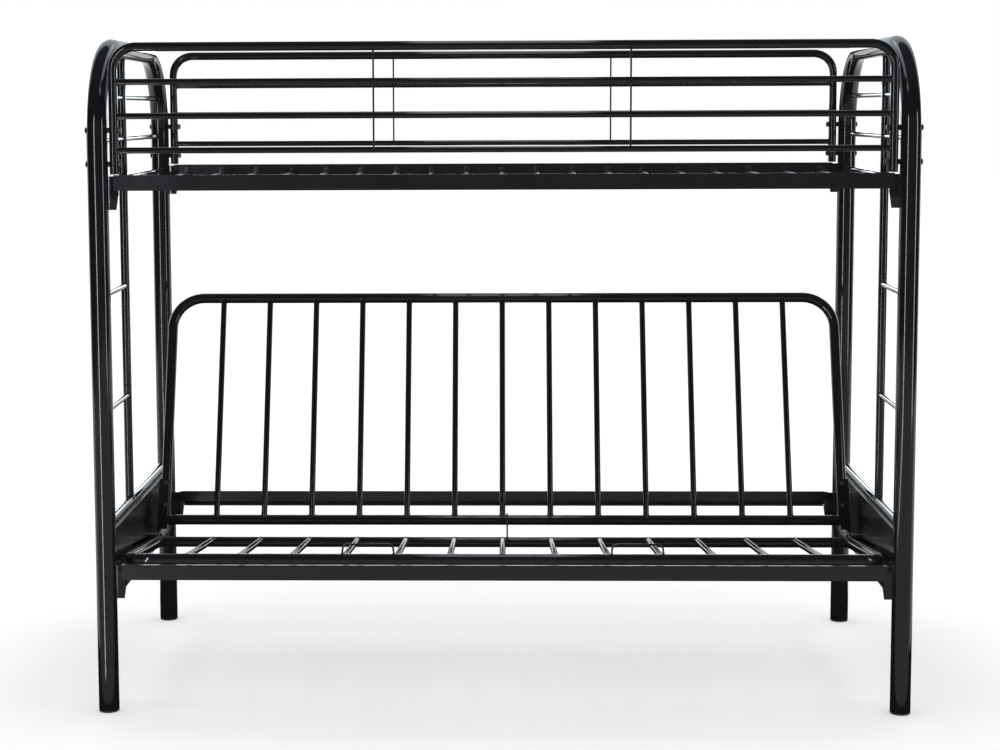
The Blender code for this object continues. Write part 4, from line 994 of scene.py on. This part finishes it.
print("seat:", len(seat.polygons), "faces")

# %% [markdown]
# ## The back frame
# The back is the same kind of frame with rounder corners, standing on the same pivots. It is drawn upright
# and leaned back, with the same helpers as the seat.

# %% Back frame
BACK_SIDE, BACK_START, BACK_LOW, BACK_TOP, BACK_BEND = 0.91425, 0.034, 0.046, 0.669, 0.085
BACK_LEAN = math.radians(-21.0)

back_bm = bmesh.new()
back_u = [Vector((x, 0, z)) for x, z in
          ((-BACK_SIDE, BACK_START), (-BACK_SIDE, BACK_TOP), (BACK_SIDE, BACK_TOP), (BACK_SIDE, BACK_START))]
tube(back_bm, bent(back_u, BACK_BEND, 20), FUTON_RADIUS, sides=32, rim=0.0012)
straight(back_bm, (-BACK_SIDE, 0, BACK_LOW), (BACK_SIDE, 0, BACK_LOW), FUTON_RADIUS, 32)
for way in (-1, 1):
    bead(back_bm, Vector((way * BACK_SIDE, 0, BACK_LOW)), -ALONG * way, UP, FUTON_RADIUS, FUTON_RADIUS, TEE_BEAD)
bars_between(back_bm, Vector((0, 0, BACK_LOW)), Vector((0, 0, BACK_TOP)), -DEEP * BAR_RISE)
back_place = Matrix.Translation(PIVOT) @ Matrix.Rotation(BACK_LEAN, 4, "X")
bmesh.ops.transform(back_bm, matrix=back_place, verts=back_bm.verts)
back = piece(back_bm, "back_tubes", "futon_back", "futon_frame", TUBE_FINISH, ["back_frame"])
print("back:", len(back.polygons), "faces")

# %% [markdown]
# ## Pivot pins, bracket bolts and the centre wire
# Each pivot is a dome-headed pin through the ear, the hinge angle and the slot, with a sleeve that runs in
# the slot's track and a washer and nut outside. A thin wire hooked round the back's lower tube rests on
# the seat's rear tube. All are spun or swept like their bigger neighbours.

# %% Pivot pins
PIN_RADIUS, SLEEVE_RADIUS, WASHER_RADIUS, PIN_RIM = 0.004, 0.009, 0.01, 0.0004
SLEEVE_START, PLATE_INNER, WASHER_SHEET, PIN_NUT, PIN_END = 0.9313, 0.95, 0.0015, 0.0055, 0.0065

pin_bm = bmesh.new()
head, sleeve, plate = EAR_INNER - GAP, SLEEVE_START + GAP, PLATE_INNER - GAP
washer = plate + 2 * GAP + 0.002
nut = washer + WASHER_SHEET
crown = [(-along, radius) for along, radius in dome_profile(-head, 0.006, 0.008, 0.0024)]
shank = [(head, PIN_RADIUS), (sleeve, PIN_RADIUS), (sleeve, SLEEVE_RADIUS - PIN_RIM),
         (sleeve + PIN_RIM, SLEEVE_RADIUS), (plate - PIN_RIM, SLEEVE_RADIUS), (plate, SLEEVE_RADIUS - PIN_RIM),
         (plate, PIN_RADIUS), (nut + PIN_NUT, PIN_RADIUS), (nut + 0.0061, 0.0038), (nut + PIN_END, 0.0033),
         (nut + PIN_END, 0)]
turned(pin_bm, crown[::-1] + shank, 36)
ring = [(washer, PIN_RADIUS), (washer, 0.0097), (washer + 0.0003, WASHER_RADIUS),
        (washer + 0.0012, WASHER_RADIUS), (nut, 0.0097), (nut, PIN_RADIUS)]
turned(pin_bm, ring, 36, closed=True)
turned(pin_bm, nut_profile(nut + 0.00001, nut + PIN_NUT, 0.0056, PIN_RADIUS), 36, closed=True)
bmesh.ops.transform(pin_bm, matrix=Matrix.Translation(PIVOT), verts=pin_bm.verts)
pin = both_ends(pin_bm, "pivot_pin", "futon_seat", "fastener", (bolt_paint_with_painted_glint,), "hinge_pin")
print("pins:", len(pin.polygons), "faces each")

# %% Bracket bolts
SMALL_BOLT_RADIUS, SMALL_NUT, BRACKET_BOLTS = 0.003, 0.0045, (("low", 0.083), ("high", 0.143))

bolt_bm = bmesh.new()
head, nut = FUTON_RADIUS + GAP + BRACKET_SHEET + GAP, -FUTON_RADIUS - GAP
shank = [(nut - 0.005, 0), (nut - 0.005, 0.0025), (nut - SMALL_NUT, SMALL_BOLT_RADIUS), (head, SMALL_BOLT_RADIUS)]
turned(bolt_bm, shank + dome_profile(head, 0.003, 0.006, 0.0018), 32)
turned(bolt_bm, nut_profile(nut - SMALL_NUT, nut, 0.0052, SMALL_BOLT_RADIUS), 36, closed=True)
bracket_bolt = finished_mesh(bolt_bm, "bracket_bolt")
spin = Matrix.Rotation(-math.pi / 2, 4, "Z")
for end, way in ENDS:
    for level, height in BRACKET_BOLTS:
        made = placed(bracket_bolt, back_place @ Matrix.Translation((way * BACK_SIDE, 0, height)) @ spin)
        node = f"bracket_bolt_{end}_{level}"
        dress(made, "turned_" + node, "futon_back", "fastener", (bolt_paint_with_painted_glint,), [node])
print("bracket bolts: 4")

# %% Centre wire
LINK_X, LINK_RADIUS, LINK_WRAP, LINK_OVERHANG = 0.0125, 0.00225, math.radians(205), 0.004

low_tube, rear_tube = back_place @ Vector((0, 0, BACK_LOW)), seat_place @ rear_left
run = Vector((0, rear_tube.y - low_tube.y, rear_tube.z - low_tube.z))
forward = run.normalized()
lift = Vector((0, forward.z, -forward.y))
reach = FUTON_RADIUS + GAP + LINK_RADIUS
path = [forward * (run.length + LINK_OVERHANG) + lift * reach]
for step in range(29):
    turn = LINK_WRAP * step / 28
    path.append((lift * math.cos(turn) - forward * math.sin(turn)) * reach)
wire_bm = bmesh.new()
tube(wire_bm, path, LINK_RADIUS, sides=16, rim=0.0006)
bmesh.ops.translate(wire_bm, vec=Vector((LINK_X, low_tube.y, low_tube.z)), verts=wire_bm.verts)
piece(wire_bm, "centre_wire", "link", "wire_link", (matt_wire,), ["centre_link"])
print("centre wire", round(run.length, 3), "m between its tubes")

# %% [markdown]
# ## The dressed size
# The dressed model must stay inside the CAD model's box, so its own box is printed.

# %% Size
low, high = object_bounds()
print("visual box:", [round(v, 4) for v in high - low])
